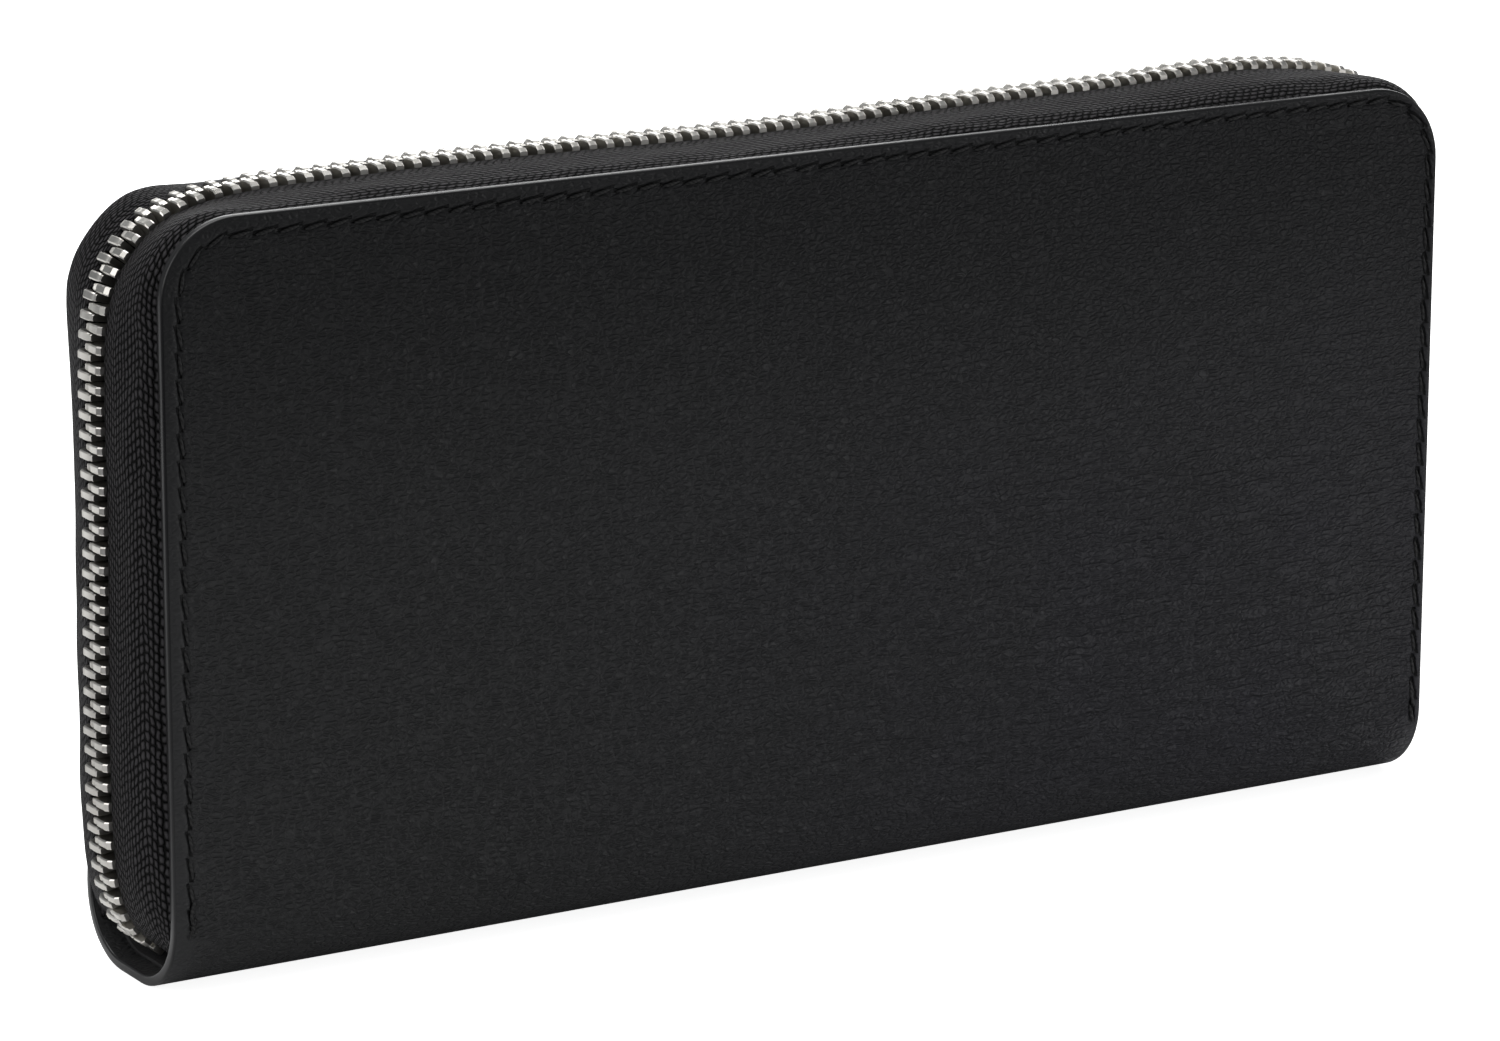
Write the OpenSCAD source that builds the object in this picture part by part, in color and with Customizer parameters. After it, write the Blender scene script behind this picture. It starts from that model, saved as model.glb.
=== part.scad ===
// Zip-around long wallet, standing on its folded spine.
// Frame: +X runs along the length, the front cover faces -Y, +Z is up.
// The origin is the centre of the flat base of the spine.

/* [Outside] */
// Length of each cover along X
wallet_w = 195; // [160:1:235]
// Height of the covers above the base
wallet_h = 100; // [84:1:122]
// Overall thickness, front face to back face
wallet_t = 27; // [25:0.5:34]
// Radius of the cover's two top corners
cover_r = 10.5; // [6:0.5:16]
// Outer radius of the spine's two rolled edges
spine_r = 10.5; // [8:0.5:12]

/* [Leather and lining] */
// Thickness of the outer leather
leather_t = 1.4; // [1:0.1:1.8]
// Thickness of the stiffener board and of the zip tape beside it
board_t = 0.6; // [0.4:0.1:0.8]
// Thickness of the lining leather
lining_t = 0.5; // [0.3:0.1:0.7]
// How far the spine's lining stops short of each end of the spine
lining_inset = 3; // [1:0.5:8]

/* [Stitching] */
// Distance from the cover's edge to the stitch line
stitch_inset = 2.6; // [2:0.1:4]
// Distance from one stitch to the next
stitch_pitch = 3.4; // [2.5:0.1:5]
// Length of one stitch
stitch_len = 2.6; // [1.5:0.1:2.9]
// Width of the thread
stitch_w = 0.5; // [0.3:0.1:0.8]
// Depth of the channel that the thread lies in
channel_depth = 0.35; // [0.2:0.05:0.5]

/* [Card slots] */
// Gap between the card panel and the gusset's flange beside it
panel_side_gap = 0.4; // [0.2:0.1:2]
// Width of the flange that joins a gusset to the lining
gusset_flange = 3; // [2:0.5:5]
// Thickness of a card panel or of one card slot leaf
leaf_t = 0.4; // [0.3:0.05:0.5]
// Height of the card panel's lower edge above the base
panel_bottom = 13; // [12:0.5:20]
// Height of the card panel above its lower edge
panel_h = 76; // [66:1:78]
// Drop from the panel's top edge to the first leaf, and from leaf to leaf
leaf_step = 9; // [6:0.5:12]
// Gap between the two columns of card slots
column_gap = 1; // [0.5:0.1:3]

/* [Coin pocket] */
// Clear width inside the coin pocket, across the wallet
coin_gap = 7; // [7:0.5:8]
// Thickness of each wall of the coin pocket
coin_wall_t = 0.9; // [0.6:0.1:1.2]
// Height of the coin pocket's walls above the base
coin_h = 79; // [60:1:80]
// How far the coin pocket's walls stop short of each end of the covers
coin_inset = 6; // [4:0.5:12]
// Depth of the fold in the coin pocket's ends
coin_fold = 9; // [5:0.5:16]
// Thickness of the thin leather that the gussets are folded from
gusset_t = 0.5; // [0.3:0.1:0.7]
// Depth of the fold in the gussets beside the note compartments
gusset_fold = 16; // [8:1:20]

/* [Main zip] */
// Distance from tooth to tooth along one row
tooth_pitch = 2.55; // [2.4:0.05:3]
// Length of one tooth along the row
tooth_len = 1.1; // [0.9:0.05:1.2]
// Distance from the centre plane to the back of a row of teeth
tooth_reach = 2.9; // [2.5:0.1:3.3]
// How far a tooth's head reaches over the centre plane
tooth_overlap = 0.35; // [0.1:0.05:0.5]
// Thickness of the closed teeth
tooth_t = 2.6; // [2:0.1:2.9]
// How far the teeth's middle stands outside the covers' left edge
zip_proud_left = 2.6; // [1.5:0.1:4]
// How far the teeth's middle stands above the covers' top edge
zip_proud_top = 1.3; // [0.6:0.1:2]
// How far the teeth's middle stands outside the covers' right edge
zip_proud_right = 0.5; // [0:0.1:1]
// Radius that the zip turns at the top corners
zip_r = 19; // [16:0.5:22]
// How far the tape runs in under the cover
tape_flange = 5.6; // [4:0.2:7]
// How far the tape rises from the cover to the teeth
tape_rise = 3.4; // [2.5:0.1:4]
// Height of the zip's closed lower end, on the left
zip_start_z = 8; // [7:0.5:12]
// Height of the middle of the slider when the zip is shut
slider_z = 24; // [24:0.5:30]
// How far the slider runs up the right side
slider_travel = 50; // [30:1:52]

/* [Coin zip] */
// Distance from tooth to tooth along one row
coin_tooth_pitch = 2.1; // [2:0.1:2.6]
// Length of one tooth along the row
coin_tooth_len = 0.85; // [0.6:0.05:0.9]
// Distance from the centre plane to the back of a row of teeth
coin_tooth_reach = 1.7; // [1.4:0.1:1.8]
// Thickness of the closed teeth
coin_tooth_t = 1.6; // [1.2:0.1:1.9]
// Height of the coin zip's teeth above the coin pocket's walls
coin_zip_rise = 3.2; // [2.5:0.1:4]
// How far the coin zip's teeth stop short of each end of the pocket
coin_zip_inset = 12; // [8:1:20]
// How far the coin zip's tape runs past its teeth at each end
coin_tape_run = 7; // [6:0.5:8]
// How far the coin pocket's slider runs when the pocket is opened
coin_travel = 135; // [90:1:140]

/* [Zip sliders] */
// Length of the main zip's slider
slider_len = 11; // [9:0.5:12]
// Width of the main zip's slider
slider_w = 9.4; // [9:0.1:10.5]
// Thickness of the main slider's two plates
slider_plate = 1; // [0.8:0.1:1.3]
// Clearance between the teeth and the slider's plates
slider_gap = 0.2; // [0.15:0.05:0.3]
// Width of the main slider's side flanges
slider_flange = 0.8; // [0.6:0.1:1]
// Length of the coin zip's slider
coin_slider_len = 8.5; // [7:0.5:10]
// Width of the coin zip's slider
coin_slider_w = 5.6; // [5:0.1:5.8]
// Thickness of the coin slider's two plates
coin_slider_plate = 0.7; // [0.5:0.1:0.9]
// Width of the coin slider's side flanges
coin_slider_flange = 0.6; // [0.4:0.1:0.8]
// Radius of the round bar on which a zip pull turns
pull_bar_r = 0.6; // [0.5:0.05:0.7]
// Length of the link between the main slider and its pull tab
link_len = 7; // [6:0.5:9]
// Width of the main zip's pull tab
tab_w = 6; // [5:0.5:8]
// Length of the main zip's pull tab
tab_len = 12.5; // [8:0.5:13]
// Length of the coin zip's pull
coin_pull_len = 14; // [10:0.5:14]

/* [Hidden] */

$fn = 48;
front = -1;
back = 1;
left = -1;
right = 1;
cut = 1;
slot_count = 4;

black_leather = "#232326";
edge_black = "#18181a";
lining_black = "#2b2a2c";
tape_black = "#1d1c20";
nickel = "#c9c7c0";

// Distances outward from the centre plane to the faces of each layer of a half
half_t = wallet_t / 2;
leather_in = half_t - leather_t;
board_in = leather_in - board_t;
lining_in = board_in - lining_t;
panel_in = lining_in - leaf_t;
slots_in = panel_in - slot_count * leaf_t;
coin_out = coin_gap / 2 + coin_wall_t;

// Fold line where a cover meets the spine: a round bead in a round groove
hinge_r = leather_t / 2;
hinge_clearance = 0.05;
hinge_y = half_t - hinge_r;
hinge_z = spine_r;
spine_flat = wallet_t - 2 * spine_r;
spine_lining_z = leather_t + lining_t;
lining_bottom = hinge_z + hinge_r + 0.3;

// Zip path: left line, right line, top line, corner radius, lower ends
zip_left = -(wallet_w / 2 + zip_proud_left);
zip_right = wallet_w / 2 + zip_proud_right;
zip_top = wallet_h + zip_proud_top;
zip_end_z = slider_z - 0.5;
zip_path = [zip_left, zip_right, zip_top, zip_r, zip_start_z, zip_end_z];
tape_t = board_t;
tape_end_z = hinge_z + 1.5;
tape_tail_w = spine_flat / 2 + 0.75 * (spine_r - spine_lining_z);
seat_gap = 0.4;
board_half_w = zip_right - tape_rise - tape_flange - seat_gap;
board_top = zip_top - tape_rise - tape_flange - seat_gap;
board_r = zip_r - tape_rise - tape_flange - seat_gap;
lining_half_w = zip_right - tape_rise - seat_gap;
lining_top = zip_top - tape_rise - seat_gap;
lining_r = zip_r - tape_rise - seat_gap;

// Stitch path round the left, top and right edges of a cover
stitch_half_w = wallet_w / 2 - stitch_inset;
stitch_r = cover_r - stitch_inset;
stitch_bottom = hinge_z + hinge_r + 0.8;
stitch_path = [-stitch_half_w, stitch_half_w, wallet_h - stitch_inset, stitch_r,
               stitch_bottom, stitch_bottom];
stitch_count = floor(path_length(stitch_path) / stitch_pitch);
channel_w = stitch_w + 0.3;
stitch_out = half_t - 0.08;

// Card panels, gussets and coin pocket
gusset_half_w = lining_half_w - 1.5;
gusset_bottom = panel_bottom + 1;
gusset_top = coin_h + 1;
panel_half_w = gusset_half_w - gusset_flange - panel_side_gap;
slot_w = panel_half_w - column_gap / 2;
slot_bottom = panel_bottom;
coin_half_w = wallet_w / 2 - coin_inset;
seam_gap = 0.1;
// The pocket's floor lies where its walls clear the curve of the spine's lining
wall_past_flat = max(0, coin_out - spine_flat / 2);
coin_floor_z = spine_r + seam_gap
    - sqrt(pow(spine_r - spine_lining_z, 2) - pow(wall_past_flat, 2));
note_gap = slots_in - coin_out;
pleat_side = note_gap * 0.12;
pleat_mid = (slots_in + coin_out) / 2;

// Coin zip
coin_zip_z = coin_h + coin_zip_rise;
coin_zip_half = coin_half_w - coin_zip_inset;
coin_tape_t = 0.4;
coin_tape_flange = 7;
coin_tooth_count = floor(2 * coin_zip_half / coin_tooth_pitch);
coin_slider_x = coin_zip_half;
coin_bar_out = coin_tooth_t / 2 + slider_gap + coin_slider_plate + pull_bar_r + 0.35;

// Main zip slider
bar_out = tooth_t / 2 + slider_gap + slider_plate + pull_bar_r + 0.35;
bar_clearance = 0.3;
bridge_t = 0.8;
link_half_w = 2.3;
tab_eye_r = 1.5;
stop_len = 2.2;

// ---------- Paths round a cover ----------

// Length of each stretch: left run, corner, top run, corner, right run
function run_left(p) = p[2] - p[3] - p[4];
function run_corner(p) = p[3] * PI / 2;
function run_top(p) = p[1] - p[0] - 2 * p[3];
function run_right(p) = p[2] - p[3] - p[5];
function path_length(p) = run_left(p) + 2 * run_corner(p) + run_top(p) + run_right(p);

// Angle of the outward direction at distance s, from -90 on the left to 90 on the right
function path_angle(p, s) =
    let (a = run_left(p), b = a + run_corner(p), c = b + run_top(p), d = c + run_corner(p))
    s < a ? -90
    : s < b ? -90 + 90 * (s - a) / run_corner(p)
    : s < c ? 0
    : s < d ? 90 * (s - c) / run_corner(p)
    : 90;

// Place on the path at distance s
function path_point(p, s) =
    let (a = run_left(p), b = a + run_corner(p), c = b + run_top(p), d = c + run_corner(p))
    let (t = path_angle(p, s), r = p[3], z0 = p[2] - r)
    s < a ? [p[0], 0, p[4] + s]
    : s < b ? [p[0] + r + r * sin(t), 0, z0 + r * cos(t)]
    : s < c ? [p[0] + r + s - b, 0, p[2]]
    : s < d ? [p[1] - r + r * sin(t), 0, z0 + r * cos(t)]
    : [p[1], 0, z0 - (s - d)];

// Puts a piece drawn with +X along the path and +Z outward at distance s
module on_path(p, s) {
    translate(path_point(p, s))
        rotate([0, path_angle(p, s), 0])
            children();
}

// Runs a profile round the path: its x is the distance from the centre plane,
// its y the distance outward from the path
module sweep_path(p, left_z, right_z) {
    translate([p[0], 0, left_z])
        rotate([0, -90, 0])
            along_x(p[2] - p[3] - left_z) children();
    translate([p[0] + p[3], 0, p[2]])
        along_x(run_top(p)) children();
    translate([p[1], 0, p[2] - p[3]])
        rotate([0, 90, 0])
            along_x(p[2] - p[3] - right_z) children();
    translate([p[0] + p[3], 0, p[2] - p[3]])
        corner_sweep(180, p[3]) children();
    translate([p[1] - p[3], 0, p[2] - p[3]])
        corner_sweep(270, p[3]) children();
}

module along_x(length) {
    rotate([90, 0, 90])
        linear_extrude(length)
            children();
}

module corner_sweep(start, r) {
    rotate([-90, 0, 0])
        rotate([0, 0, start])
            rotate_extrude(angle = 90)
                translate([r, 0])
                    mirror([1, -1])
                        children();
}

// ---------- Shapes that repeat ----------

// A piece drawn on the +Y side, placed on the front or the back half
module on_half(side) {
    mirror([0, side == front ? 1 : 0, 0])
        children();
}

// A sheet in the XZ plane between two distances from the centre plane
module sheet(inner, outer) {
    translate([0, outer, 0])
        rotate([90, 0, 0])
            linear_extrude(outer - inner)
                children();
}

// Outline with two round top corners, from z = bottom to z = top
module rounded_top(half_w, bottom, top, r) {
    translate([-half_w, bottom])
        square([2 * half_w, top - r - bottom]);
    translate([-half_w + r, bottom])
        square([2 * (half_w - r), top - bottom]);
    for (side = [left, right])
        translate([side * (half_w - r), top - r])
            circle(r);
}

// Section of the spine between two depths of the leather, up to its top edge
module spine_section(outer_r, inner_r) {
    difference() {
        spine_outline(outer_r);
        spine_outline(inner_r);
        translate([-wallet_t, hinge_z])
            square([2 * wallet_t, wallet_h]);
    }
}

module spine_outline(r) {
    translate([-spine_flat / 2, spine_r - r])
        square([spine_flat, r + cut]);
    for (side = [front, back])
        translate([side * spine_flat / 2, spine_r])
            circle(r);
}

// ---------- Spine and covers ----------

module spine_leather() {
    color(black_leather)
        difference() {
            translate([-wallet_w / 2, 0, 0])
                along_x(wallet_w)
                    spine_section(spine_r, spine_r - leather_t);
            for (side = [front, back])
                translate([-wallet_w / 2 - cut, side * hinge_y, hinge_z])
                    rotate([0, 90, 0])
                        cylinder(r = hinge_r + hinge_clearance, h = wallet_w + 2 * cut);
        }
}

module spine_lining() {
    color(lining_black)
        difference() {
            translate([-wallet_w / 2 + lining_inset, 0, 0])
                along_x(wallet_w - 2 * lining_inset)
                    spine_section(spine_r - leather_t, spine_r - leather_t - lining_t);
            translate([-wallet_w, -wallet_t, hinge_z - 1])
                cube([2 * wallet_w, 2 * wallet_t, wallet_h]);
        }
}

// A cover: flat leather with a channel for the thread, and the bead it folds on
module cover(side) {
    color(black_leather)
        on_half(side) {
            difference() {
                sheet(leather_in, half_t)
                    rounded_top(wallet_w / 2, hinge_z, wallet_h, cover_r);
                sweep_path(stitch_path, stitch_bottom, stitch_bottom)
                    translate([half_t - channel_depth, -channel_w / 2])
                        square([channel_depth + cut, channel_w]);
            }
            translate([-wallet_w / 2, hinge_y, hinge_z])
                rotate([0, 90, 0])
                    cylinder(r = hinge_r, h = wallet_w);
        }
}

module stitching(side) {
    color(edge_black)
        on_half(side)
            for (i = [0 : stitch_count - 1])
                on_path(stitch_path, (i + 0.5) * stitch_pitch)
                    translate([-stitch_len / 2, half_t - channel_depth, -stitch_w / 2])
                        cube([stitch_len, stitch_out - half_t + channel_depth, stitch_w]);
}

module board(side) {
    color(tape_black)
        on_half(side)
            sheet(board_in, leather_in)
                rounded_top(board_half_w, lining_bottom, board_top, board_r);
}

module lining(side) {
    color(lining_black)
        on_half(side)
            sheet(lining_in, board_in)
                rounded_top(lining_half_w, lining_bottom, lining_top, lining_r);
}

// ---------- Main zip ----------

// Section of the tape: it leaves the teeth, bends over and runs in behind the cover
module tape_section() {
    steps = 6;
    outer = [for (i = [0 : steps])
        [tooth_reach + (leather_in - tooth_reach) * sin(90 * i / steps),
         tape_t / 2 - tape_rise * (1 - cos(90 * i / steps))]];
    inner = [for (i = [steps : -1 : 0])
        [tooth_reach + (board_in - tooth_reach) * sin(90 * i / steps),
         -tape_t / 2 - tape_rise * (1 - cos(90 * i / steps))]];
    foot = -tape_rise - tape_flange;
    polygon(concat(outer, [[leather_in, foot], [board_in, foot]], inner));
}

// At the zip's start a narrower tail of tape runs down inside the spine
module zip_tape(side) {
    color(tape_black)
        on_half(side) {
            sweep_path(zip_path, tape_end_z, tape_end_z)
                tape_section();
            translate([zip_left, 0, zip_start_z])
                rotate([0, -90, 0])
                    along_x(tape_end_z - zip_start_z)
                        intersection() {
                            tape_section();
                            translate([0, -wallet_t])
                                square([tape_tail_w, 2 * wallet_t]);
                        }
        }
}

// Every second place along the path belongs to the other row
module zip_teeth(side) {
    count = floor(path_length(zip_path) / tooth_pitch);
    phase = side == front ? 0.25 : 0.75;
    color(nickel)
        on_half(side)
            for (i = [0 : count - 1])
                on_path(zip_path, (i + phase) * tooth_pitch)
                    translate([-tooth_len / 2, -tooth_overlap, -tooth_t / 2])
                        cube([tooth_len, tooth_reach + tooth_overlap, tooth_t]);
}

module zip_stop(side) {
    color(nickel)
        on_half(side)
            translate([zip_right - tooth_t / 2, 0.7, slider_z - slider_len / 2 - stop_len - 1])
                cube([tooth_t, tooth_reach - 0.7, stop_len]);
}

module zip_bottom_stop() {
    color(nickel)
        translate([zip_left - tooth_t / 2, -tooth_reach, zip_start_z - stop_len])
            cube([tooth_t, 2 * tooth_reach, stop_len]);
}

// ---------- Zip sliders and pulls ----------
// Drawn with the chain along X, +Z outward and the mouth at +X

module slider_body(length, width, teeth, plate, flange_w, bar_z) {
    channel = teeth / 2 + slider_gap;
    slot = 0.5;
    nose = width * 0.3;
    for (s = [-1, 1])
        mirror([0, 0, s < 0 ? 1 : 0]) {
            translate([0, 0, channel])
                linear_extrude(plate)
                    slider_plan(length, width, nose);
            translate([0, 0, slot])
                linear_extrude(channel - slot)
                    difference() {
                        slider_plan(length, width, nose);
                        translate([-length, -width / 2 + flange_w])
                            square([2 * length, width - 2 * flange_w]);
                    }
        }
    // Wedge that parts the two rows
    translate([0, 0, -channel])
        linear_extrude(2 * channel)
            polygon([[length * 0.12, 0], [length / 2 - 0.3, -nose / 2], [length / 2 - 0.3, nose / 2]]);
    slider_bridge(length, channel + plate, bar_z);
}

module slider_plan(length, width, nose) {
    translate([-length / 2, -width / 2 + nose / 2])
        square([length, width - nose]);
    translate([-length / 2 + nose / 2, -width / 2])
        square([length - nose, width]);
    for (x = [-1, 1], y = [-1, 1])
        translate([x * (length - nose) / 2, y * (width - nose) / 2])
            circle(nose / 2);
}

module slider_bridge(length, base_z, bar_z) {
    bridge_w = 1.8;
    inside = pull_bar_r + bar_clearance;
    foot_x = length * 0.28;
    translate([0, bridge_w / 2, 0])
        rotate([90, 0, 0])
            linear_extrude(bridge_w)
                difference() {
                    translate([-foot_x, base_z])
                        square([2 * foot_x, bar_z + inside + bridge_t - base_z]);
                    translate([-foot_x + bridge_t, base_z - cut])
                        square([2 * (foot_x - bridge_t), bar_z + inside - base_z + cut]);
                }
}

module bar_y(half_w) {
    translate([0, half_w, 0])
        rotate([90, 0, 0])
            cylinder(r = pull_bar_r, h = 2 * half_w);
}

module place_main_slider() {
    translate([zip_right, 0, slider_z])
        rotate([0, 90, 0])
            children();
}

module zip_slider() {
    color(nickel)
        place_main_slider()
            slider_body(slider_len, slider_w, tooth_t, slider_plate, slider_flange, bar_out);
}

// A rectangular ring of round wire: one bar in the bridge, one in the tab's eye
module zip_pull_link() {
    color(nickel)
        place_main_slider()
            translate([0, 0, bar_out]) {
                bar_y(link_half_w);
                translate([link_len, 0, 0])
                    bar_y(link_half_w);
                for (y = [-1, 1])
                    translate([0, y * link_half_w, 0])
                        rotate([0, 90, 0])
                            cylinder(r = pull_bar_r, h = link_len);
                for (x = [0, link_len], y = [-1, 1])
                    translate([x, y * link_half_w, 0])
                        sphere(r = pull_bar_r);
            }
}

module zip_pull_tab() {
    eye_half_w = link_half_w - pull_bar_r - bar_clearance;
    plate_x = pull_bar_r + bar_clearance + 0.4;
    color(nickel)
        place_main_slider()
            translate([link_len, 0, bar_out])
                difference() {
                    union() {
                        translate([0, eye_half_w, 0])
                            rotate([90, 0, 0])
                                cylinder(r = tab_eye_r, h = 2 * eye_half_w);
                        translate([0, -eye_half_w, -pull_bar_r])
                            cube([plate_x + cut, 2 * eye_half_w, 2 * pull_bar_r]);
                        translate([plate_x, 0, -pull_bar_r])
                            linear_extrude(2 * pull_bar_r)
                                tab_plan(tab_len, tab_w);
                    }
                    translate([0, tab_w, 0])
                        rotate([90, 0, 0])
                            cylinder(r = pull_bar_r + 0.08, h = 2 * tab_w);
                }
}

module tab_plan(length, width) {
    translate([0, -width / 2])
        square([length - width / 2, width]);
    translate([length - width / 2, 0])
        circle(width / 2);
}

// ---------- Inside each half ----------

module card_panel(side) {
    color(lining_black)
        on_half(side)
            sheet(panel_in, lining_in)
                translate([-panel_half_w, panel_bottom])
                    square([2 * panel_half_w, panel_h]);
}

// Slot 1 lies on the panel and is the tallest, slot 4 is the nearest and the lowest
module card_slot(side, column, number) {
    top = panel_bottom + panel_h - number * leaf_step;
    outer = panel_in - (number - 1) * leaf_t;
    x = column == left ? -panel_half_w : column_gap / 2;
    color(black_leather)
        on_half(side)
            sheet(outer - leaf_t, outer)
                translate([x, slot_bottom])
                    square([slot_w, top - slot_bottom]);
}

// Section of a gusset, drawn for the right-hand end: flange, fold and seam
module gusset_section() {
    x1 = gusset_half_w;
    seam_y = coin_out + seam_gap;
    seam_x = coin_half_w - gusset_flange;
    fold_x = gusset_half_w - gusset_fold;
    arm_out = slots_in - pleat_side;
    translate([x1 - gusset_flange, lining_in - gusset_t])
        square([gusset_flange, gusset_t]);
    translate([x1 - gusset_t, arm_out - gusset_t])
        square([gusset_t, lining_in - arm_out + gusset_t]);
    polygon([[x1, arm_out - gusset_t], [x1, arm_out], [fold_x, pleat_mid + gusset_t / 2],
             [fold_x, pleat_mid - gusset_t / 2]]);
    polygon([[x1, seam_y], [x1, seam_y + gusset_t], [fold_x, pleat_mid + gusset_t / 2],
             [fold_x, pleat_mid - gusset_t / 2]]);
    translate([seam_x, seam_y])
        square([x1 - seam_x, gusset_t]);
}

module gusset(side, end) {
    color(lining_black)
        on_half(side)
            mirror([end == left ? 1 : 0, 0, 0])
                translate([0, 0, gusset_bottom])
                    linear_extrude(gusset_top - gusset_bottom)
                        gusset_section();
}

// ---------- Coin pocket ----------

module coin_base() {
    color(lining_black)
        translate([-coin_half_w, -coin_gap / 2, coin_floor_z])
            cube([2 * coin_half_w, coin_gap, lining_t]);
}

module coin_wall(side) {
    corner_r = 4;
    color(lining_black)
        on_half(side)
            sheet(coin_gap / 2, coin_out)
                rounded_top(coin_half_w, coin_floor_z, coin_h, corner_r);
}

// The pocket's end: one sheet folded inward between the two walls
module coin_end(end) {
    bottom = coin_floor_z + lining_t;
    tip = coin_half_w - coin_fold;
    edge = coin_gap / 2;
    color(lining_black)
        mirror([end == left ? 1 : 0, 0, 0])
            translate([0, 0, bottom])
                linear_extrude(coin_h - coin_zip_rise - bottom)
                    polygon([[coin_half_w - gusset_t, -edge], [coin_half_w, -edge],
                             [tip + gusset_t, 0], [coin_half_w, edge],
                             [coin_half_w - gusset_t, edge], [tip, 0]]);
}

// The tape is sewn inside the wall and bends in to the teeth above it
module coin_tape(side) {
    wall = coin_gap / 2;
    foot = coin_h - coin_zip_rise - coin_tape_flange;
    bend = 0.5;
    half = coin_tape_t / 2;
    color(tape_black)
        on_half(side)
            translate([-coin_zip_half - coin_tape_run, 0, 0])
                along_x(2 * (coin_zip_half + coin_tape_run))
                    polygon([[wall, foot],
                             [wall, coin_zip_z + half - bend],
                             [wall - bend, coin_zip_z + half],
                             [coin_tooth_reach, coin_zip_z + half],
                             [coin_tooth_reach, coin_zip_z - half],
                             [wall - coin_tape_t - bend / 2, coin_zip_z - half],
                             [wall - coin_tape_t, coin_zip_z - half - bend],
                             [wall - coin_tape_t, foot]]);
}

module coin_teeth(side) {
    phase = side == front ? 0.25 : 0.75;
    head = 0.25;
    color(nickel)
        on_half(side)
            for (i = [0 : coin_tooth_count - 1])
                translate([-coin_zip_half + (i + phase) * coin_tooth_pitch - coin_tooth_len / 2,
                           -head, coin_zip_z - coin_tooth_t / 2])
                    cube([coin_tooth_len, coin_tooth_reach + head, coin_tooth_t]);
}

// One stop across both rows at the tail, and one on each row past the slider
module coin_zip_stops() {
    tail = 1.6;
    past = coin_slider_x + coin_slider_len / 2 + 0.4;
    color(nickel) {
        translate([-coin_zip_half - tail - 0.2, -coin_tooth_reach, coin_zip_z - coin_tooth_t / 2])
            cube([tail, 2 * coin_tooth_reach, coin_tooth_t]);
        for (side = [front, back])
            on_half(side)
                translate([past, 0.5, coin_zip_z - coin_tooth_t / 2])
                    cube([tail, coin_tooth_reach - 0.5, coin_tooth_t]);
    }
}

module place_coin_slider() {
    translate([coin_slider_x, 0, coin_zip_z])
        children();
}

module coin_slider() {
    color(nickel)
        place_coin_slider()
            slider_body(coin_slider_len, coin_slider_w, coin_tooth_t, coin_slider_plate,
                        coin_slider_flange, coin_bar_out);
}

// A flat pull with its own bar, folded down along the chain
module coin_pull() {
    bar_half_w = 2.4;
    pull_w = 4.2;
    arm_len = coin_slider_len * 0.28 + 1.4;
    arm_t = 1;
    color(nickel)
        place_coin_slider()
            translate([0, 0, coin_bar_out]) {
                bar_y(bar_half_w);
                for (y = [-1, 1])
                    translate([0, y * (bar_half_w - arm_t / 2) - arm_t / 2, -pull_bar_r])
                        cube([arm_len + arm_t, arm_t, 2 * pull_bar_r]);
                translate([arm_len, 0, -pull_bar_r])
                    linear_extrude(2 * pull_bar_r)
                        difference() {
                            tab_plan(coin_pull_len - arm_len, 2 * bar_half_w);
                            translate([coin_pull_len - arm_len - bar_half_w, 0])
                                circle(pull_w / 4);
                        }
            }
}

spine_leather();
spine_lining();
coin_base();
coin_wall(front);  // coin_wall_front
coin_wall(back);  // coin_wall_back
coin_end(left);  // coin_end_left
coin_end(right);  // coin_end_right
coin_tape(front);  // coin_tape_front
coin_tape(back);  // coin_tape_back
coin_teeth(front);  // coin_teeth_front
coin_teeth(back);  // coin_teeth_back
coin_zip_stops();
coin_slider();
coin_pull();
cover(front);  // front_cover
stitching(front);  // front_stitching
board(front);  // front_board
lining(front);  // front_lining
zip_tape(front);  // front_zip_tape
zip_teeth(front);  // front_zip_teeth
zip_stop(front);  // front_zip_stop
card_panel(front);  // front_card_panel
card_slot(front, left, 1);  // front_slot_left_1
card_slot(front, left, 2);  // front_slot_left_2
card_slot(front, left, 3);  // front_slot_left_3
card_slot(front, left, 4);  // front_slot_left_4
card_slot(front, right, 1);  // front_slot_right_1
card_slot(front, right, 2);  // front_slot_right_2
card_slot(front, right, 3);  // front_slot_right_3
card_slot(front, right, 4);  // front_slot_right_4
gusset(front, left);  // front_gusset_left
gusset(front, right);  // front_gusset_right
cover(back);  // back_cover
stitching(back);  // back_stitching
board(back);  // back_board
lining(back);  // back_lining
zip_tape(back);  // back_zip_tape
zip_teeth(back);  // back_zip_teeth
zip_stop(back);  // back_zip_stop
card_panel(back);  // back_card_panel
card_slot(back, left, 1);  // back_slot_left_1
card_slot(back, left, 2);  // back_slot_left_2
card_slot(back, left, 3);  // back_slot_left_3
card_slot(back, left, 4);  // back_slot_left_4
card_slot(back, right, 1);  // back_slot_right_1
card_slot(back, right, 2);  // back_slot_right_2
card_slot(back, right, 3);  // back_slot_right_3
card_slot(back, right, 4);  // back_slot_right_4
gusset(back, left);  // back_gusset_left
gusset(back, right);  // back_gusset_right
zip_bottom_stop();
zip_slider();
zip_pull_link();
zip_pull_tab();
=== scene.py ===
import math
import random

import bmesh
import bpy
from mathutils import Matrix, Vector, noise


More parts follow.
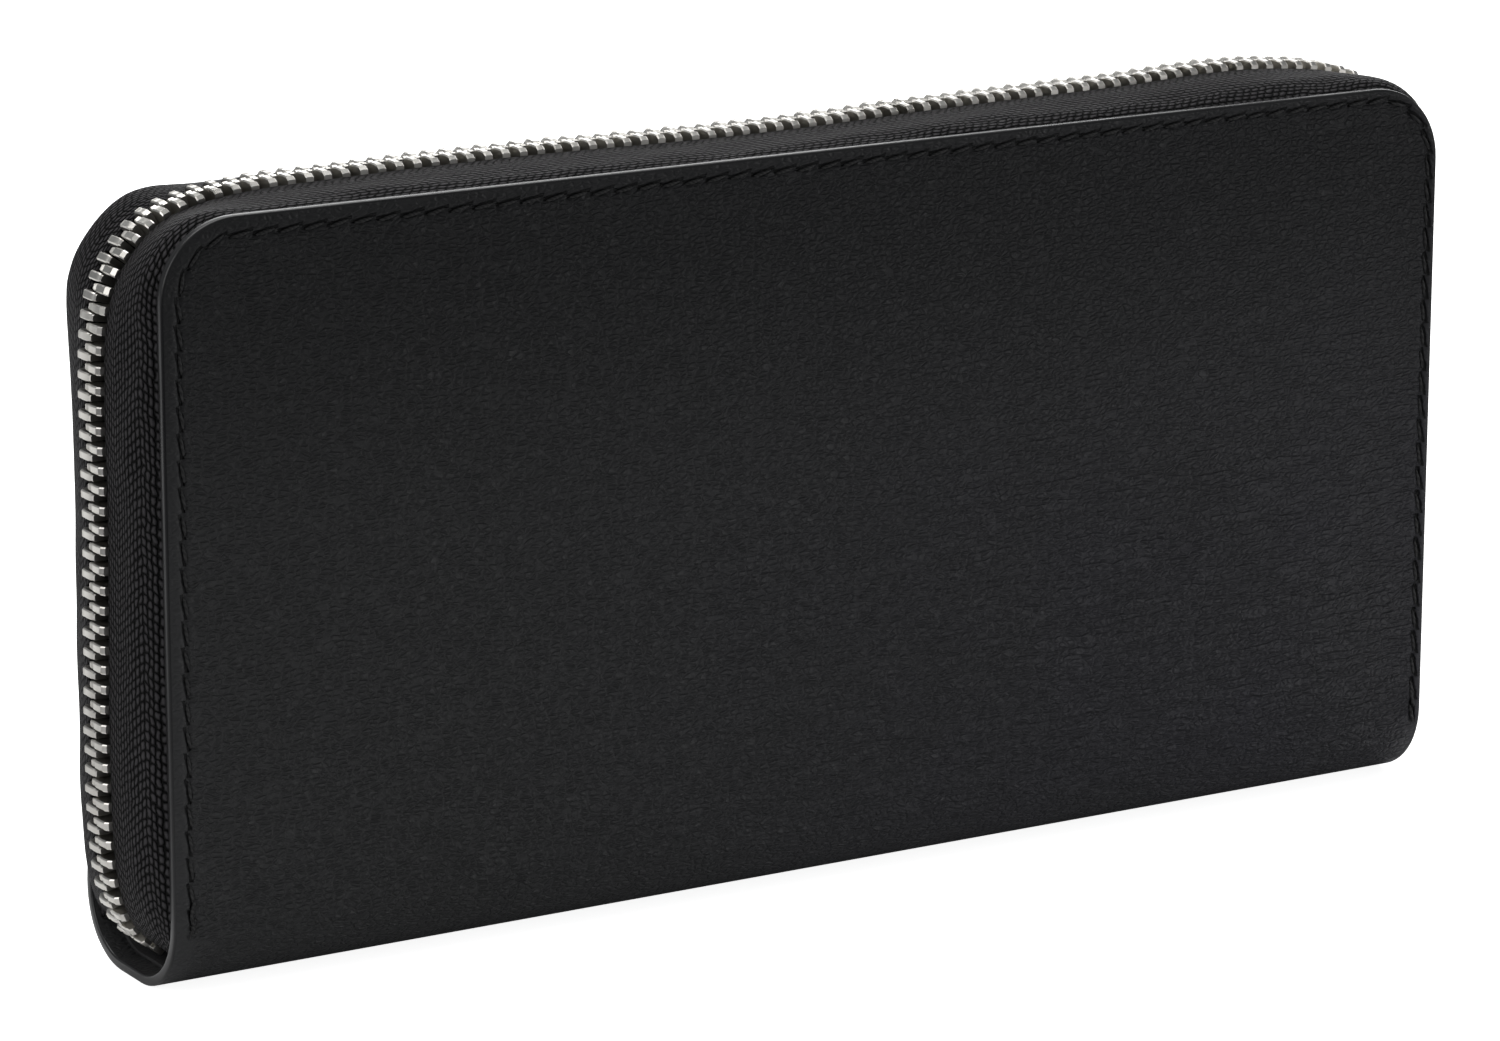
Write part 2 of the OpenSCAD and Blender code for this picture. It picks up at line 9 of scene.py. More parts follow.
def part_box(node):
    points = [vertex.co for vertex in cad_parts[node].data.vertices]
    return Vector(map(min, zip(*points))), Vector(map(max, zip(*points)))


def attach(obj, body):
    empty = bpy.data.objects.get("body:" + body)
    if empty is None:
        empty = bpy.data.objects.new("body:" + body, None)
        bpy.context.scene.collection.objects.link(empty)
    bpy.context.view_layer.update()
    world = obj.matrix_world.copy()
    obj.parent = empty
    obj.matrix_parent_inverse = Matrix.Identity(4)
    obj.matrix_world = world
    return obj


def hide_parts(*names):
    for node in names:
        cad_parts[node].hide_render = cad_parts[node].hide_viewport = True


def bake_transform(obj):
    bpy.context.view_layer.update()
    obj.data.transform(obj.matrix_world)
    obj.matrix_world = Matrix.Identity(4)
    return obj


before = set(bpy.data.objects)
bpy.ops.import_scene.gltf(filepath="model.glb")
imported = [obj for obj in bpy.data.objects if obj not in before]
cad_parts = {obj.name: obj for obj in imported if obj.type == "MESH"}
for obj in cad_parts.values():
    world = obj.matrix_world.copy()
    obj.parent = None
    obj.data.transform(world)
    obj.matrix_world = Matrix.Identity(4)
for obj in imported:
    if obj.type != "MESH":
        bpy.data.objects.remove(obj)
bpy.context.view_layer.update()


# ---------- Camera ----------
# The wallet is seen from the left of its front, a little from above, through a long lens.
scene = bpy.context.scene
MM = 0.001
view_turn = math.radians(-31.2)
view_rise = math.radians(14.1)
view_distance = 791 * MM
view_aim = Vector((-5.3, 0, 48.1)) * MM
toward_camera = Vector((math.sin(view_turn) * math.cos(view_rise),
                        -math.cos(view_turn) * math.cos(view_rise),
                        math.sin(view_rise)))
camera = bpy.data.objects.new("camera", bpy.data.cameras.new("camera"))
camera.data.lens = 142.5
camera.data.sensor_width = 36
camera.location = view_aim + view_distance * toward_camera
camera.rotation_euler = (math.pi / 2 - view_rise, 0, view_turn)
camera.rotation_euler.rotate_axis("Z", math.radians(0.1))
scene.collection.objects.link(camera)
scene.camera = camera


# ---------- Stage ----------
# A pale table in a white room. One soft box is behind the wallet and one above it, to light
# the zip, one at its left and a low one in front. To everything but the camera the table's
# colour is a painted pool of light: white near the wallet and behind it, dark away from it,
# so that the leather keeps its depth.
scene.view_settings.view_transform = "Standard"


def feed(tree, node, inputs):
    """Gives each input of a node a constant, or links it to the socket that feeds it."""
    for name, value in dict(inputs).items():
        if isinstance(value, bpy.types.NodeSocket):
            tree.links.new(value, node.inputs[name])
        else:
            node.inputs[name].default_value = value


def add_node(tree, kind, inputs=(), **settings):
    """Adds a shader node. An input's value is a constant, or the socket that feeds it."""
    made = tree.nodes.new("ShaderNode" + kind)
    for name, value in settings.items():
        setattr(made, name, value)
    feed(tree, made, inputs)
    return made


def mix_color(tree, share, first, second):
    """The colour socket of a mix of two colours."""
    return add_node(tree, "Mix", {"Factor": share, "A": first, "B": second},
                    data_type="RGBA").outputs["Result"]


def new_material(name):
    """An empty material with its Principled shader, whose tree and shader are returned."""
    material = bpy.data.materials.new(name)
    material.use_nodes = True
    tree = material.node_tree
    tree.nodes.clear()
    shader = add_node(tree, "BsdfPrincipled")
    output = add_node(tree, "OutputMaterial")
    tree.links.new(shader.outputs[0], output.inputs["Surface"])
    return material, tree, shader


table_top = 0.05 * MM
bm = bmesh.new()
bmesh.ops.create_grid(bm, x_segments=2, y_segments=2, size=3)
bmesh.ops.translate(bm, verts=bm.verts, vec=(0, 0, -table_top))
floor_mesh = bpy.data.meshes.new("floor")
bm.to_mesh(floor_mesh)
bm.free()
floor = bpy.data.objects.new("floor", floor_mesh)
scene.collection.objects.link(floor)
floor_paint, tree, shader = new_material("pale_table")
seen = add_node(tree, "LightPath").outputs["Is Camera Ray"]
place = add_node(tree, "TexCoord").outputs["Object"]
shorter = add_node(tree, "VectorMath", {0: place, 1: (0.5, 1, 1)}, operation="MULTIPLY").outputs[0]
away = add_node(tree, "VectorMath", {0: shorter}, operation="LENGTH").outputs["Value"]
near = add_node(tree, "MapRange", {"Value": away, "From Min": 0.2, "From Max": 0.05}).outputs[0]
behind = add_node(tree, "SeparateXYZ", {0: place}).outputs["Y"]
behind = add_node(tree, "MapRange", {"Value": behind, "From Min": 0.0, "From Max": 0.15}).outputs[0]
lit = add_node(tree, "Math", {0: near, 1: behind}, operation="MAXIMUM").outputs[0]
# Painted pool of light on the table, seen only in reflections and bounce: white near the wallet and behind
# it, dark farther off
mirrored = mix_color(tree, lit, (0.08, 0.08, 0.09, 1), (1, 1, 1, 1))
paper = mix_color(tree, seen, mirrored, (0.9, 0.9, 0.9, 1))
glow = mix_color(tree, seen, (0, 0, 0, 1), (0.9, 0.9, 0.9, 1))
feed(tree, shader, {"Roughness": 0.9, "Specular IOR Level": 0.1, "Emission Strength": 1.0,
                    "Base Color": paper, "Emission Color": glow})
floor_mesh.materials.append(floor_paint)

room = bpy.data.worlds.new("room")
room.use_nodes = True
tree = room.node_tree
tree.nodes.clear()
seen_white = add_node(tree, "Background", {"Color": (1, 1, 1, 1), "Strength": 1.0})
ambient = add_node(tree, "Background", {"Color": (0.94, 0.97, 1, 1), "Strength": 0.24})
ray = add_node(tree, "LightPath")
mix = add_node(tree, "MixShader", {0: ray.outputs["Is Camera Ray"], 1: ambient.outputs[0],
                                   2: seen_white.outputs[0]})
output = add_node(tree, "OutputWorld", {"Surface": mix.outputs[0]})
scene.world = room


def soft_box(name, place, aim, width, height, power):
    data = bpy.data.lights.new(name, "AREA")
    data.shape = "RECTANGLE"
    data.size = width
    data.size_y = height
    data.energy = power
    light = bpy.data.objects.new(name, data)
    light.location = place
    light.rotation_mode = "QUATERNION"
    light.rotation_quaternion = (Vector(aim) - Vector(place)).to_track_quat("-Z", "Y")
    scene.collection.objects.link(light)


soft_box("behind", (0.55, 0.95, 0.32), (0, 0, 0.08), 1.1, 0.55, 4.5)
soft_box("overhead", (0.0, 0.35, 0.95), (0, 0, 0.05), 1.0, 0.6, 7)
soft_box("left", (-0.9, -0.1, 0.5), (0, 0, 0.05), 0.6, 0.6, 2.6)
soft_box("low_front", (0.75, -0.6, 0.12), (0.05, 0, 0.03), 0.5, 0.2, 1.2)


# ---------- Outer leather ----------
# One skin of pebbled calf leather wraps from the front cover under the spine to the back
# cover. Its raw edge is burnished and painted. It is split here along the middle of the
# spine's base, one half for each cover.
FRONT, BACK = -1, 1
SIDES = {FRONT: "front", BACK: "back"}
leather_t = 1.4 * MM
roll_r = 10.5 * MM
corner_r = 10.5 * MM
rim_r = 0.32 * MM
stitch_inset = 2.6 * MM
stitch_pitch = 3.4 * MM
stitch_foot = 9 * MM
cover_low, cover_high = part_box("front_cover")
half_w = cover_high.x
cover_top = cover_high.z
half_t = -cover_low.y
half_flat = half_t - roll_r
roll_len = roll_r * math.pi / 2
# A point of the skin is given by x, its height along the unrolled skin and its depth
unrolled_base = roll_r - roll_len - half_flat
edge_steps = [s * MM for s in (0, 0.5, 0.9, 1.2, 1.45, 1.7, 1.95, 2.2, 2.45, 2.7, 2.95, 3.3, 3.9, 4.8, 6,
                               7.4, 8.9, 10.5)]


def even_steps(start, end, count):
    return [start + (end - start) * i / count for i in range(count + 1)]


def toward_edges(half, inner_count, steps):
    """Places from -half to half, close together by both edges."""
    left = [-half + s for s in steps]
    middle = even_steps(-half + steps[-1], half - steps[-1], inner_count)[1:-1]
    return left + middle + [-x for x in reversed(left)]


def flat_sheet(columns, rows):
    """A flat sheet whose columns and rows of points lie at the given places."""
    bm = bmesh.new()
    bmesh.ops.create_grid(bm, x_segments=len(columns) - 1, y_segments=len(rows) - 1, size=0.5)
    for vert in bm.verts:
        vert.co.x = columns[round((vert.co.x + 0.5) * (len(columns) - 1))]
        vert.co.y = rows[round((vert.co.y + 0.5) * (len(rows) - 1))]
    return bm


def round_top_corners(bm, half, top, r):
    """Turns the grid lines round the two top corners, so that they follow the edge."""
    for vert in bm.verts:
        across = abs(vert.co.x) - (half - r)
        above = vert.co.y - (top - r)
        if across > 0 and above > 0:
            ring = max(across, above)
            turn = math.pi / 4 * min(across, above) / ring
            if above > across:
                turn = math.pi / 2 - turn
            vert.co.x = math.copysign(half - r + ring * math.cos(turn), vert.co.x)
            vert.co.y = top - r + ring * math.sin(turn)


def thicken(bm, thickness, rim, keep_below=None):
    """Gives the flat sheet its thickness, from z = 0 down, and rounds its rim.
    The cut edge along the bottom stays square if keep_below is given."""
    bmesh.ops.solidify(bm, geom=bm.faces[:], thickness=thickness)
    highest = max(vert.co.z for vert in bm.verts)
    bmesh.ops.translate(bm, verts=bm.verts, vec=(0, 0, -highest))
    bmesh.ops.recalc_face_normals(bm, faces=bm.faces)
    sharp = [edge for edge in bm.edges if edge.calc_face_angle(0) > 1
             and (keep_below is None or max(v.co.y for v in edge.verts) > keep_below)]
    bmesh.ops.bevel(bm, geom=sharp, offset=rim, offset_type="OFFSET", affect="EDGES",
                    segments=3, profile=0.5, material=-1, clamp_overlap=True)
    bm.normal_update()
    for face in bm.faces:
        face.material_index = 0 if abs(face.normal.z) > 0.97 else 1


def stitch_along(x, height):
    """Distance in from the cover's edge, and distance along the stitch line from the foot
    of its left run, of a point on a cover."""
    run = cover_top - corner_r - stitch_foot
    turn_r = corner_r - stitch_inset
    half_path = run + turn_r * math.pi / 2 + half_w - corner_r
    across = abs(x) - (half_w - corner_r)
    above = height - (cover_top - corner_r)
    if across > 0 and above > 0:
        inset = corner_r - math.hypot(across, above)
        along = run + turn_r * math.atan2(above, across)
    elif half_w - abs(x) < cover_top - height:
        inset = half_w - abs(x)
        along = height - stitch_foot
    else:
        inset = cover_top - height
        along = half_path - abs(x)
    if x > 0:
        along = 2 * half_path - along
    return inset, along


def line_inset(x):
    """The stitch line runs a little closer to the edge toward the right."""
    return 2.05 * MM - 0.5 * MM * x / half_w


def smooth_step(value, start, end):
    share = min(1, max(0, (value - start) / (end - start)))
    return share * share * (3 - 2 * share)


def hump(value, middle, width):
    return math.exp(-((value - middle) / width) ** 2)


def leather_relief(x, height):
    """How far the leather's outer face stands proud: a soft filled panel, a sunk and puckered
    stitch line, a rounded band outside it, and shallow hollows."""
    inset, along = stitch_along(x, height)
    line = line_inset(x)
    phase = along / stitch_pitch % 1
    hole = 0.5 + 0.5 * math.cos(2 * math.pi * phase)
    slant = (0.5 - phase) * 0.5 * MM
    sewn = smooth_step(height, stitch_foot - 1.5 * MM, stitch_foot + 1 * MM)
    groove = (0.26 + 0.12 * hole) * hump(inset, line + slant, 0.36 * MM)
    lumps = 0.12 * (1 - hole) * hump(inset, line + 0.75 * MM, 0.45 * MM)
    band = 0.14 * math.sin(math.pi * min(1, inset / line))
    filled = 0.3 * smooth_step(inset, stitch_inset + 0.4 * MM, 20 * MM)
    drift = noise.noise(Vector((x, height, 0)) / (34 * MM)) * 0.22
    drift += noise.noise(Vector((x, height, 20 * MM)) / (13 * MM)) * 0.07
    hollow = 0.35 * hump(x, 26 * MM, 30 * MM) * hump(height, 80 * MM, 13 * MM)
    inner = smooth_step(inset, 3 * MM, 16 * MM)
    flat_part = smooth_step(height, 2 * MM, 26 * MM)
    relief = sewn * (lumps - groove) + flat_part * (filled + inner * (drift - hollow)) + sewn * band
    return relief * MM


def back_flare(x, height):
    """The back cover's edge is pressed outward a little below its upper left corner."""
    edge = smooth_step(-x, half_w - 12 * MM, half_w - 2 * MM)
    return 2.0 * MM * edge * hump(height, 84 * MM, 9 * MM)


def corner_curl(x, height):
    """The back cover's upper corners, past the board, curl in toward the tape."""
    return 1.7 * MM * smooth_step(abs(x) - half_w + height - cover_top, -26 * MM, -4 * MM)


def trimmed(side, height):
    """The back cover is cut a hair smaller than the front one."""
    return 1 - (0.009 * smooth_step(height, 0, 20 * MM) if side == BACK else 0)


def on_skin(x, height, out, side):
    """Place of a point of the skin, out from its outer face. Below the covers the skin rolls
    round the spine to the middle of its base."""
    if side == BACK:
        out += back_flare(x, height) - corner_curl(x, height)
        x *= trimmed(side, height)
        height *= trimmed(side, height)
    along = height - unrolled_base
    if along < half_flat:
        place, outward = Vector((along, 0)), Vector((0, -1))
    elif along < half_flat + roll_len:
        turn = (along - half_flat) / roll_r
        outward = Vector((math.sin(turn), -math.cos(turn)))
        place = Vector((half_flat, roll_r)) + roll_r * outward
    else:
        place, outward = Vector((half_t, height)), Vector((1, 0))
    place += outward * out
    return Vector((x, side * place.x, place.y))


def make_piece(name, bm, *materials, crease=40):
    """Turns a finished bmesh into an object, smooth except at edges sharper than crease."""
    for face in bm.faces:
        face.smooth = True
    for edge in bm.edges:
        edge.smooth = edge.calc_face_angle(0) < math.radians(crease)
    mesh = bpy.data.meshes.new(name)
    bm.to_mesh(mesh)
    bm.free()
    for material in materials:
        mesh.materials.append(material)
    piece = bpy.data.objects.new(name, mesh)
    scene.collection.objects.link(piece)
    return piece


def new_group(name, inputs, outputs):
    """An empty node group. Each input is a name, a socket kind and, for a number, its value."""
    group = bpy.data.node_groups.new(name, "ShaderNodeTree")
    for label, kind, value in inputs:
        socket = group.interface.new_socket(name=label, in_out="INPUT", socket_type="NodeSocket" + kind)
        if value is not None:
            socket.default_value = value
    for label, kind in outputs:
        group.interface.new_socket(name=label, in_out="OUTPUT", socket_type="NodeSocket" + kind)
    source = group.nodes.new("NodeGroupInput")
    result = group.nodes.new("NodeGroupOutput")
    return group, source, result


def use_group(tree, group, inputs=()):
    made = tree.nodes.new("ShaderNodeGroup")
    made.node_tree = group
    feed(tree, made, inputs)
    return made


def math_node(tree, operation, first, second=0.0, clamp=False):
    return add_node(tree, "Math", {0: first, 1: second}, operation=operation, use_clamp=clamp).outputs[0]


# Leather grain: pebbles between fine furrows, long creases across them, and pores
grain_group, source, result = new_group(
    "leather_grain",
    [("Vector", "Vector", None), ("Pebbles per m", "Float", 1700.0), ("Creases", "Float", 0.5)],
    [("Height", "Float"), ("Tone", "Float")])
drawn_out = add_node(grain_group, "VectorMath", {0: source.outputs["Vector"], 1: (0.55, 1, 1)},
                     operation="MULTIPLY")
swirl = add_node(grain_group, "TexNoise", {"Vector": source.outputs["Vector"], "Scale": 260.0,
                                           "Detail": 2.0})
swirl_push = add_node(grain_group, "VectorMath", {0: swirl.outputs["Color"], 1: (0.0011, 0.0011, 0.0011)},
                      operation="MULTIPLY")
swirled = add_node(grain_group, "VectorMath", {0: drawn_out.outputs[0], 1: swirl_push.outputs[0]},
                   operation="ADD")
pebbles = add_node(grain_group, "TexVoronoi",
                   {"Vector": swirled.outputs[0], "Scale": source.outputs["Pebbles per m"],
                    "Randomness": 1.0},
                   feature="DISTANCE_TO_EDGE")
pebble_top = add_node(grain_group, "MapRange",
                      {"Value": pebbles.outputs["Distance"], "From Min": 0.0, "From Max": 0.32},
                      interpolation_type="SMOOTHSTEP")
long_way = add_node(grain_group, "VectorMath", {0: swirled.outputs[0], 1: (0.3, 1, 1)}, operation="MULTIPLY")
folds = add_node(grain_group, "TexNoise",
                 {"Vector": long_way.outputs[0], "Scale": 720.0, "Detail": 3.0, "Roughness": 0.55})
fold_line = math_node(grain_group, "ABSOLUTE", math_node(grain_group, "SUBTRACT", folds.outputs[0], 0.5))
fold_depth = add_node(grain_group, "MapRange", {"Value": fold_line, "From Min": 0.0, "From Max": 0.09,
                                                "To Min": -1.0, "To Max": 0.0})
fold_share = math_node(grain_group, "MULTIPLY", fold_depth.outputs[0], source.outputs["Creases"])
pores = add_node(grain_group, "TexNoise", {"Vector": source.outputs["Vector"], "Scale": 3600.0,
                                           "Detail": 2.0})
pore_share = math_node(grain_group, "MULTIPLY", pores.outputs[0], 0.35)
grain_height = math_node(grain_group, "ADD", pebble_top.outputs[0], fold_share)
grain_height = math_node(grain_group, "ADD", grain_height, pore_share)
patches = add_node(grain_group, "TexNoise", {"Vector": source.outputs["Vector"], "Scale": 45.0,
                                             "Detail": 4.0})
grain_group.links.new(grain_height, result.inputs["Height"])
grain_group.links.new(patches.outputs[0], result.inputs["Tone"])

# Cover leather: near black, more creased toward the lower right, where a painted bluish sheen lightens its
# colour
cover_leather, tree, shader = new_material("cover_leather")
place = add_node(tree, "TexCoord").outputs["Object"]
xyz = add_node(tree, "SeparateXYZ", {0: place})
to_right = add_node(tree, "MapRange", {"Value": xyz.outputs["X"], "From Min": -0.07, "From Max": 0.08},
                    interpolation_type="SMOOTHSTEP").outputs[0]
to_foot = add_node(tree, "MapRange", {"Value": xyz.outputs["Z"], "From Min": 0.085, "From Max": 0.03},
                   interpolation_type="SMOOTHSTEP").outputs[0]
creases_and_painted_sheen = math_node(tree, "MULTIPLY", to_right,
                 math_node(tree, "ADD", math_node(tree, "MULTIPLY", to_foot, 0.7), 0.3))
creased = math_node(tree, "ADD", math_node(tree, "MULTIPLY", creases_and_painted_sheen, 1.0), 0.25)
grain = use_group(tree, grain_group, {"Vector": place, "Pebbles per m": 1500.0, "Creases": creased})
# Painted sheen: toward the lower right the colour is lightened and turned bluish, in patches
painted_sheen_share = math_node(tree, "MULTIPLY", creases_and_painted_sheen, grain.outputs["Tone"])
tint = mix_color(tree, painted_sheen_share, (0.035, 0.035, 0.0356, 1), (0.0465, 0.045, 0.055, 1))
furrow = add_node(tree, "MapRange", {"Value": grain.outputs["Height"], "From Min": -0.4, "From Max": 0.8,
                                     "To Min": 0.55, "To Max": 0.4})
seam = add_node(tree, "SeparateXYZ", {0: add_node(tree, "UVMap", uv_map="seam").outputs["UV"]})
uneven = add_node(tree, "TexNoise", {"Vector": place, "Scale": 900.0, "Detail": 3.0}).outputs[0]
uneven = math_node(tree, "MULTIPLY", math_node(tree, "SUBTRACT", uneven, 0.5), 0.5)
stitch_phase = math_node(tree, "FRACT", math_node(tree, "DIVIDE", seam.outputs["X"], stitch_pitch / MM))
slanting = math_node(tree, "MULTIPLY", math_node(tree, "SUBTRACT", 0.5, stitch_phase), 0.65)
from_line = math_node(tree, "SUBTRACT", math_node(tree, "ADD", seam.outputs["Y"], 0.28), slanting)
from_line = math_node(tree, "ABSOLUTE", math_node(tree, "ADD", from_line, uneven))
crease = add_node(tree, "MapRange", {"Value": from_line, "From Min": 0.06, "From Max": 0.34, "To Min": 1.0,
                                     "To Max": 0.0},
                  interpolation_type="SMOOTHSTEP").outputs[0]
above_foot = add_node(tree, "MapRange", {"Value": xyz.outputs["Z"], "From Min": stitch_foot - 1 * MM,
                                         "From Max": stitch_foot + 1 * MM}).outputs[0]
crease = math_node(tree, "MULTIPLY", crease, above_foot)
crease_depth = math_node(tree, "MULTIPLY", crease, -1.0)
pressed = add_node(tree, "MapRange", {"Value": seam.outputs["Y"], "From Min": -0.6, "From Max": 1.6,
                                      "To Min": 0.2, "To Max": 1.0},
                                      interpolation_type="SMOOTHSTEP").outputs[0]
grain_height = math_node(tree, "MULTIPLY", grain.outputs["Height"], pressed)
# Painted shade: the cover's colour darkens toward its top
upper = add_node(tree, "MapRange", {"Value": xyz.outputs["Z"], "From Min": 0.055, "From Max": 0.094,
                                    "To Min": 0.0, "To Max": 0.5},
                                    interpolation_type="SMOOTHSTEP").outputs[0]
shaded_toward_top = mix_color(tree, upper, tint, (0.006, 0.006, 0.0065, 1))
in_shade = mix_color(tree, crease, shaded_toward_top, (0.0012, 0.0012, 0.0013, 1))
crease_bump = add_node(tree, "Bump", {"Height": crease_depth, "Strength": 1.0, "Distance": 0.36 * MM})
bump = add_node(tree, "Bump", {"Height": grain_height, "Strength": 1.0, "Distance": 0.26 * MM,
                               "Normal": crease_bump.outputs[0]})
feed(tree, shader, {"Specular IOR Level": 0.25, "Base Color": in_shade, "Roughness": furrow.outputs[0],
                    "Normal": bump.outputs[0]})

# Painted edge: a smooth acrylic coat, a little uneven, rubbed thinner here and there
painted_edge, tree, shader = new_material("painted_edge")
place = add_node(tree, "TexCoord").outputs["Object"]
brushed = add_node(tree, "TexNoise", {"Vector": place, "Scale": 420.0, "Detail": 3.0})
rubbed = add_node(tree, "TexNoise", {"Vector": place, "Scale": 60.0, "Detail": 5.0})
coat = mix_color(tree, rubbed.outputs[0], (0.006, 0.006, 0.0065, 1), (0.016, 0.0155, 0.016, 1))
gloss = add_node(tree, "MapRange", {"Value": rubbed.outputs[0], "To Min": 0.16, "To Max": 0.42})
bump = add_node(tree, "Bump", {"Height": brushed.outputs[0], "Strength": 0.25, "Distance": 0.05 * MM})
feed(tree, shader, {"Specular IOR Level": 0.4, "Base Color": coat, "Roughness": gloss.outputs[0],
                    "Normal": bump.outputs[0]})


def fold_with(piece):
    """Bakes the piece's transform into its mesh."""
    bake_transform(piece)


for side in SIDES:
    columns = toward_edges(half_w, 204, edge_steps)
    rows = even_steps(unrolled_base, unrolled_base + half_flat, 2)
    rows += even_steps(unrolled_base + half_flat, roll_r, 14)[1:]
    rows += even_steps(roll_r, cover_top - corner_r, 92)[1:-1]
    rows += [cover_top - s for s in reversed(edge_steps)]
    bm = flat_sheet(columns, rows)
    round_top_corners(bm, half_w, cover_top, corner_r)
    thicken(bm, leather_t, rim_r, keep_below=unrolled_base + 0.5 * MM)
    seam_layer = bm.loops.layers.uv.new("seam")
    for face in bm.faces:
        for loop in face.loops:
            inset, along = stitch_along(loop.vert.co.x, loop.vert.co.y)
            loop[seam_layer].uv = (along / MM, (inset - line_inset(loop.vert.co.x)) / MM)
    for vert in bm.verts:
        x, height, depth = vert.co.x, vert.co.y, -vert.co.z
        surface = 1 - depth / leather_t
        out = surface * leather_relief(x, height) - depth
        vert.co = on_skin(x, height, out, side)
    bmesh.ops.recalc_face_normals(bm, faces=bm.faces)
    skin = make_piece(SIDES[side] + "_leather_skin", bm, cover_leather, painted_edge, crease=50)
    fold_with(skin)
    if side == FRONT:
        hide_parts("front_cover", "spine_leather")
    else:
        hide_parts("back_cover")


# ---------- Stitching ----------
# Waxed black thread, saddle stitched through each cover, board and zip tape. Each stitch
# slants a little and dives into its holes, and the row ends in a backstitch and a cut tuft.
stitch_len = 2.7 * MM
thread_r = 0.27 * MM
stitch_slant = math.radians(11)

thread, tree, shader = new_material("waxed_thread")
place = add_node(tree, "TexCoord").outputs["Object"]
twist = add_node(tree, "TexWave", {"Vector": place, "Scale": 900.0, "Distortion": 3.0},
                 bands_direction="DIAGONAL")
strand = mix_color(tree, twist.outputs["Color"], (0.010, 0.010, 0.010, 1), (0.040, 0.039, 0.039, 1))
bump = add_node(tree, "Bump", {"Height": twist.outputs["Fac"], "Strength": 0.4, "Distance": 0.04 * MM})
feed(tree, shader, {"Roughness": 0.5, "Specular IOR Level": 0.3, "Base Color": strand,
                    "Normal": bump.outputs[0]})


def stitch_spot(along):
    """x, height and heading of the stitch line at a distance along it."""
    run = cover_top - corner_r - stitch_foot
    turn_r = corner_r - stitch_inset
    bend = turn_r * math.pi / 2
    half_path = run + bend + half_w - corner_r
    mirrored = along > half_path
    if mirrored:
        along = 2 * half_path - along
    if along < run:
        x, height, heading = half_w - stitch_inset, stitch_foot + along, math.pi / 2
    elif along < run + bend:
        turn = (along - run) / turn_r
        x = half_w - corner_r + turn_r * math.cos(turn)
        height = cover_top - corner_r + turn_r * math.sin(turn)
        heading = math.pi / 2 + turn
    else:
        x, height, heading = half_path - along, cover_top - stitch_inset, math.pi
    if not mirrored:
        x, heading = -x, math.pi - heading
    else:
        heading += math.pi
    shift = stitch_inset - line_inset(x)
    return x - shift * math.sin(heading), height + shift * math.cos(heading), heading


path_len = 2 * (cover_top - corner_r - stitch_foot + (corner_r - stitch_inset) * math.pi / 2
                + half_w - corner_r)
for side in SIDES:
    bm = bmesh.new()
    rng = random.Random(4 + side)
    for i in range(int(path_len / stitch_pitch)):
        x, height, heading = stitch_spot((i + 0.5) * stitch_pitch)
        slant = stitch_slant + math.radians(rng.uniform(-3, 3))
        lie = Matrix.Translation((x, height, -0.1 * MM)) @ Matrix.Rotation(heading + slant, 4, "Z")
        size = Matrix.Diagonal((stitch_len / 2, thread_r, thread_r, 1))
        bmesh.ops.create_uvsphere(bm, u_segments=8, v_segments=7, radius=1,
                                  matrix=lie @ size @ Matrix.Rotation(math.pi / 2, 4, "Y"))
    for end in (-1, 1):
        line_x = end * (half_w - line_inset(end * half_w))
        for k in range(2):
            lie = Matrix.Translation((line_x, stitch_foot + (0.8 + k * 2.4) * MM, 0.05 * MM))
            turned = Matrix.Rotation(math.pi / 2 + end * math.radians(14), 4, "Z")
            size = Matrix.Diagonal((1.4 * MM, thread_r, thread_r, 1))
            bmesh.ops.create_uvsphere(bm, u_segments=8, v_segments=7, radius=1,
                                      matrix=lie @ turned @ size @ Matrix.Rotation(math.pi / 2, 4, "Y"))
        for k in range(7):
            lie = Matrix.Translation((line_x, stitch_foot + rng.uniform(0, 1.6) * MM, 0.2 * MM))
            turned = (Matrix.Rotation(rng.uniform(0, 2 * math.pi), 4, "Z")
                      @ Matrix.Rotation(rng.uniform(-0.5, 0), 4, "Y"))
            fibre = Matrix.Diagonal((rng.uniform(0.5, 0.9) * MM, 0.07 * MM, 0.07 * MM, 1))
            bmesh.ops.create_uvsphere(bm, u_segments=5, v_segments=5, radius=1,
                                      matrix=lie @ turned @ fibre @ Matrix.Rotation(math.pi / 2, 4, "Y"))
    for vert in bm.verts:
        vert.co = on_skin(vert.co.x, vert.co.y, vert.co.z + 0.3 * leather_relief(vert.co.x, vert.co.y), side)
    bmesh.ops.recalc_face_normals(bm, faces=bm.faces)
    row = make_piece(SIDES[side] + "_stitches", bm, thread, crease=80)
    fold_with(row)
    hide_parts(SIDES[side] + "_stitching")


# ---------- Boards and linings ----------
# A thin pressed fibre board stiffens each cover, and smooth lining leather is glued over it
# and over the zip tape. A third strip lines the spine.
board_paint, tree, shader = new_material("fibre_board")
place = add_node(tree, "TexCoord").outputs["Object"]
fibres = add_node(tree, "TexNoise", {"Vector": place, "Scale": 900.0, "Detail": 6.0, "Distortion": 1.5})
pulp = mix_color(tree, fibres.outputs[0], (0.03, 0.03, 0.03, 1), (0.075, 0.073, 0.07, 1))
bump = add_node(tree, "Bump", {"Height": fibres.outputs[0], "Strength": 0.4, "Distance": 0.05 * MM})
feed(tree, shader, {"Roughness": 0.85, "Base Color": pulp, "Normal": bump.outputs[0]})
for name in ("front_board", "back_board"):
    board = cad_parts[name]
    board.data.materials.clear()
    board.data.materials.append(board_paint)


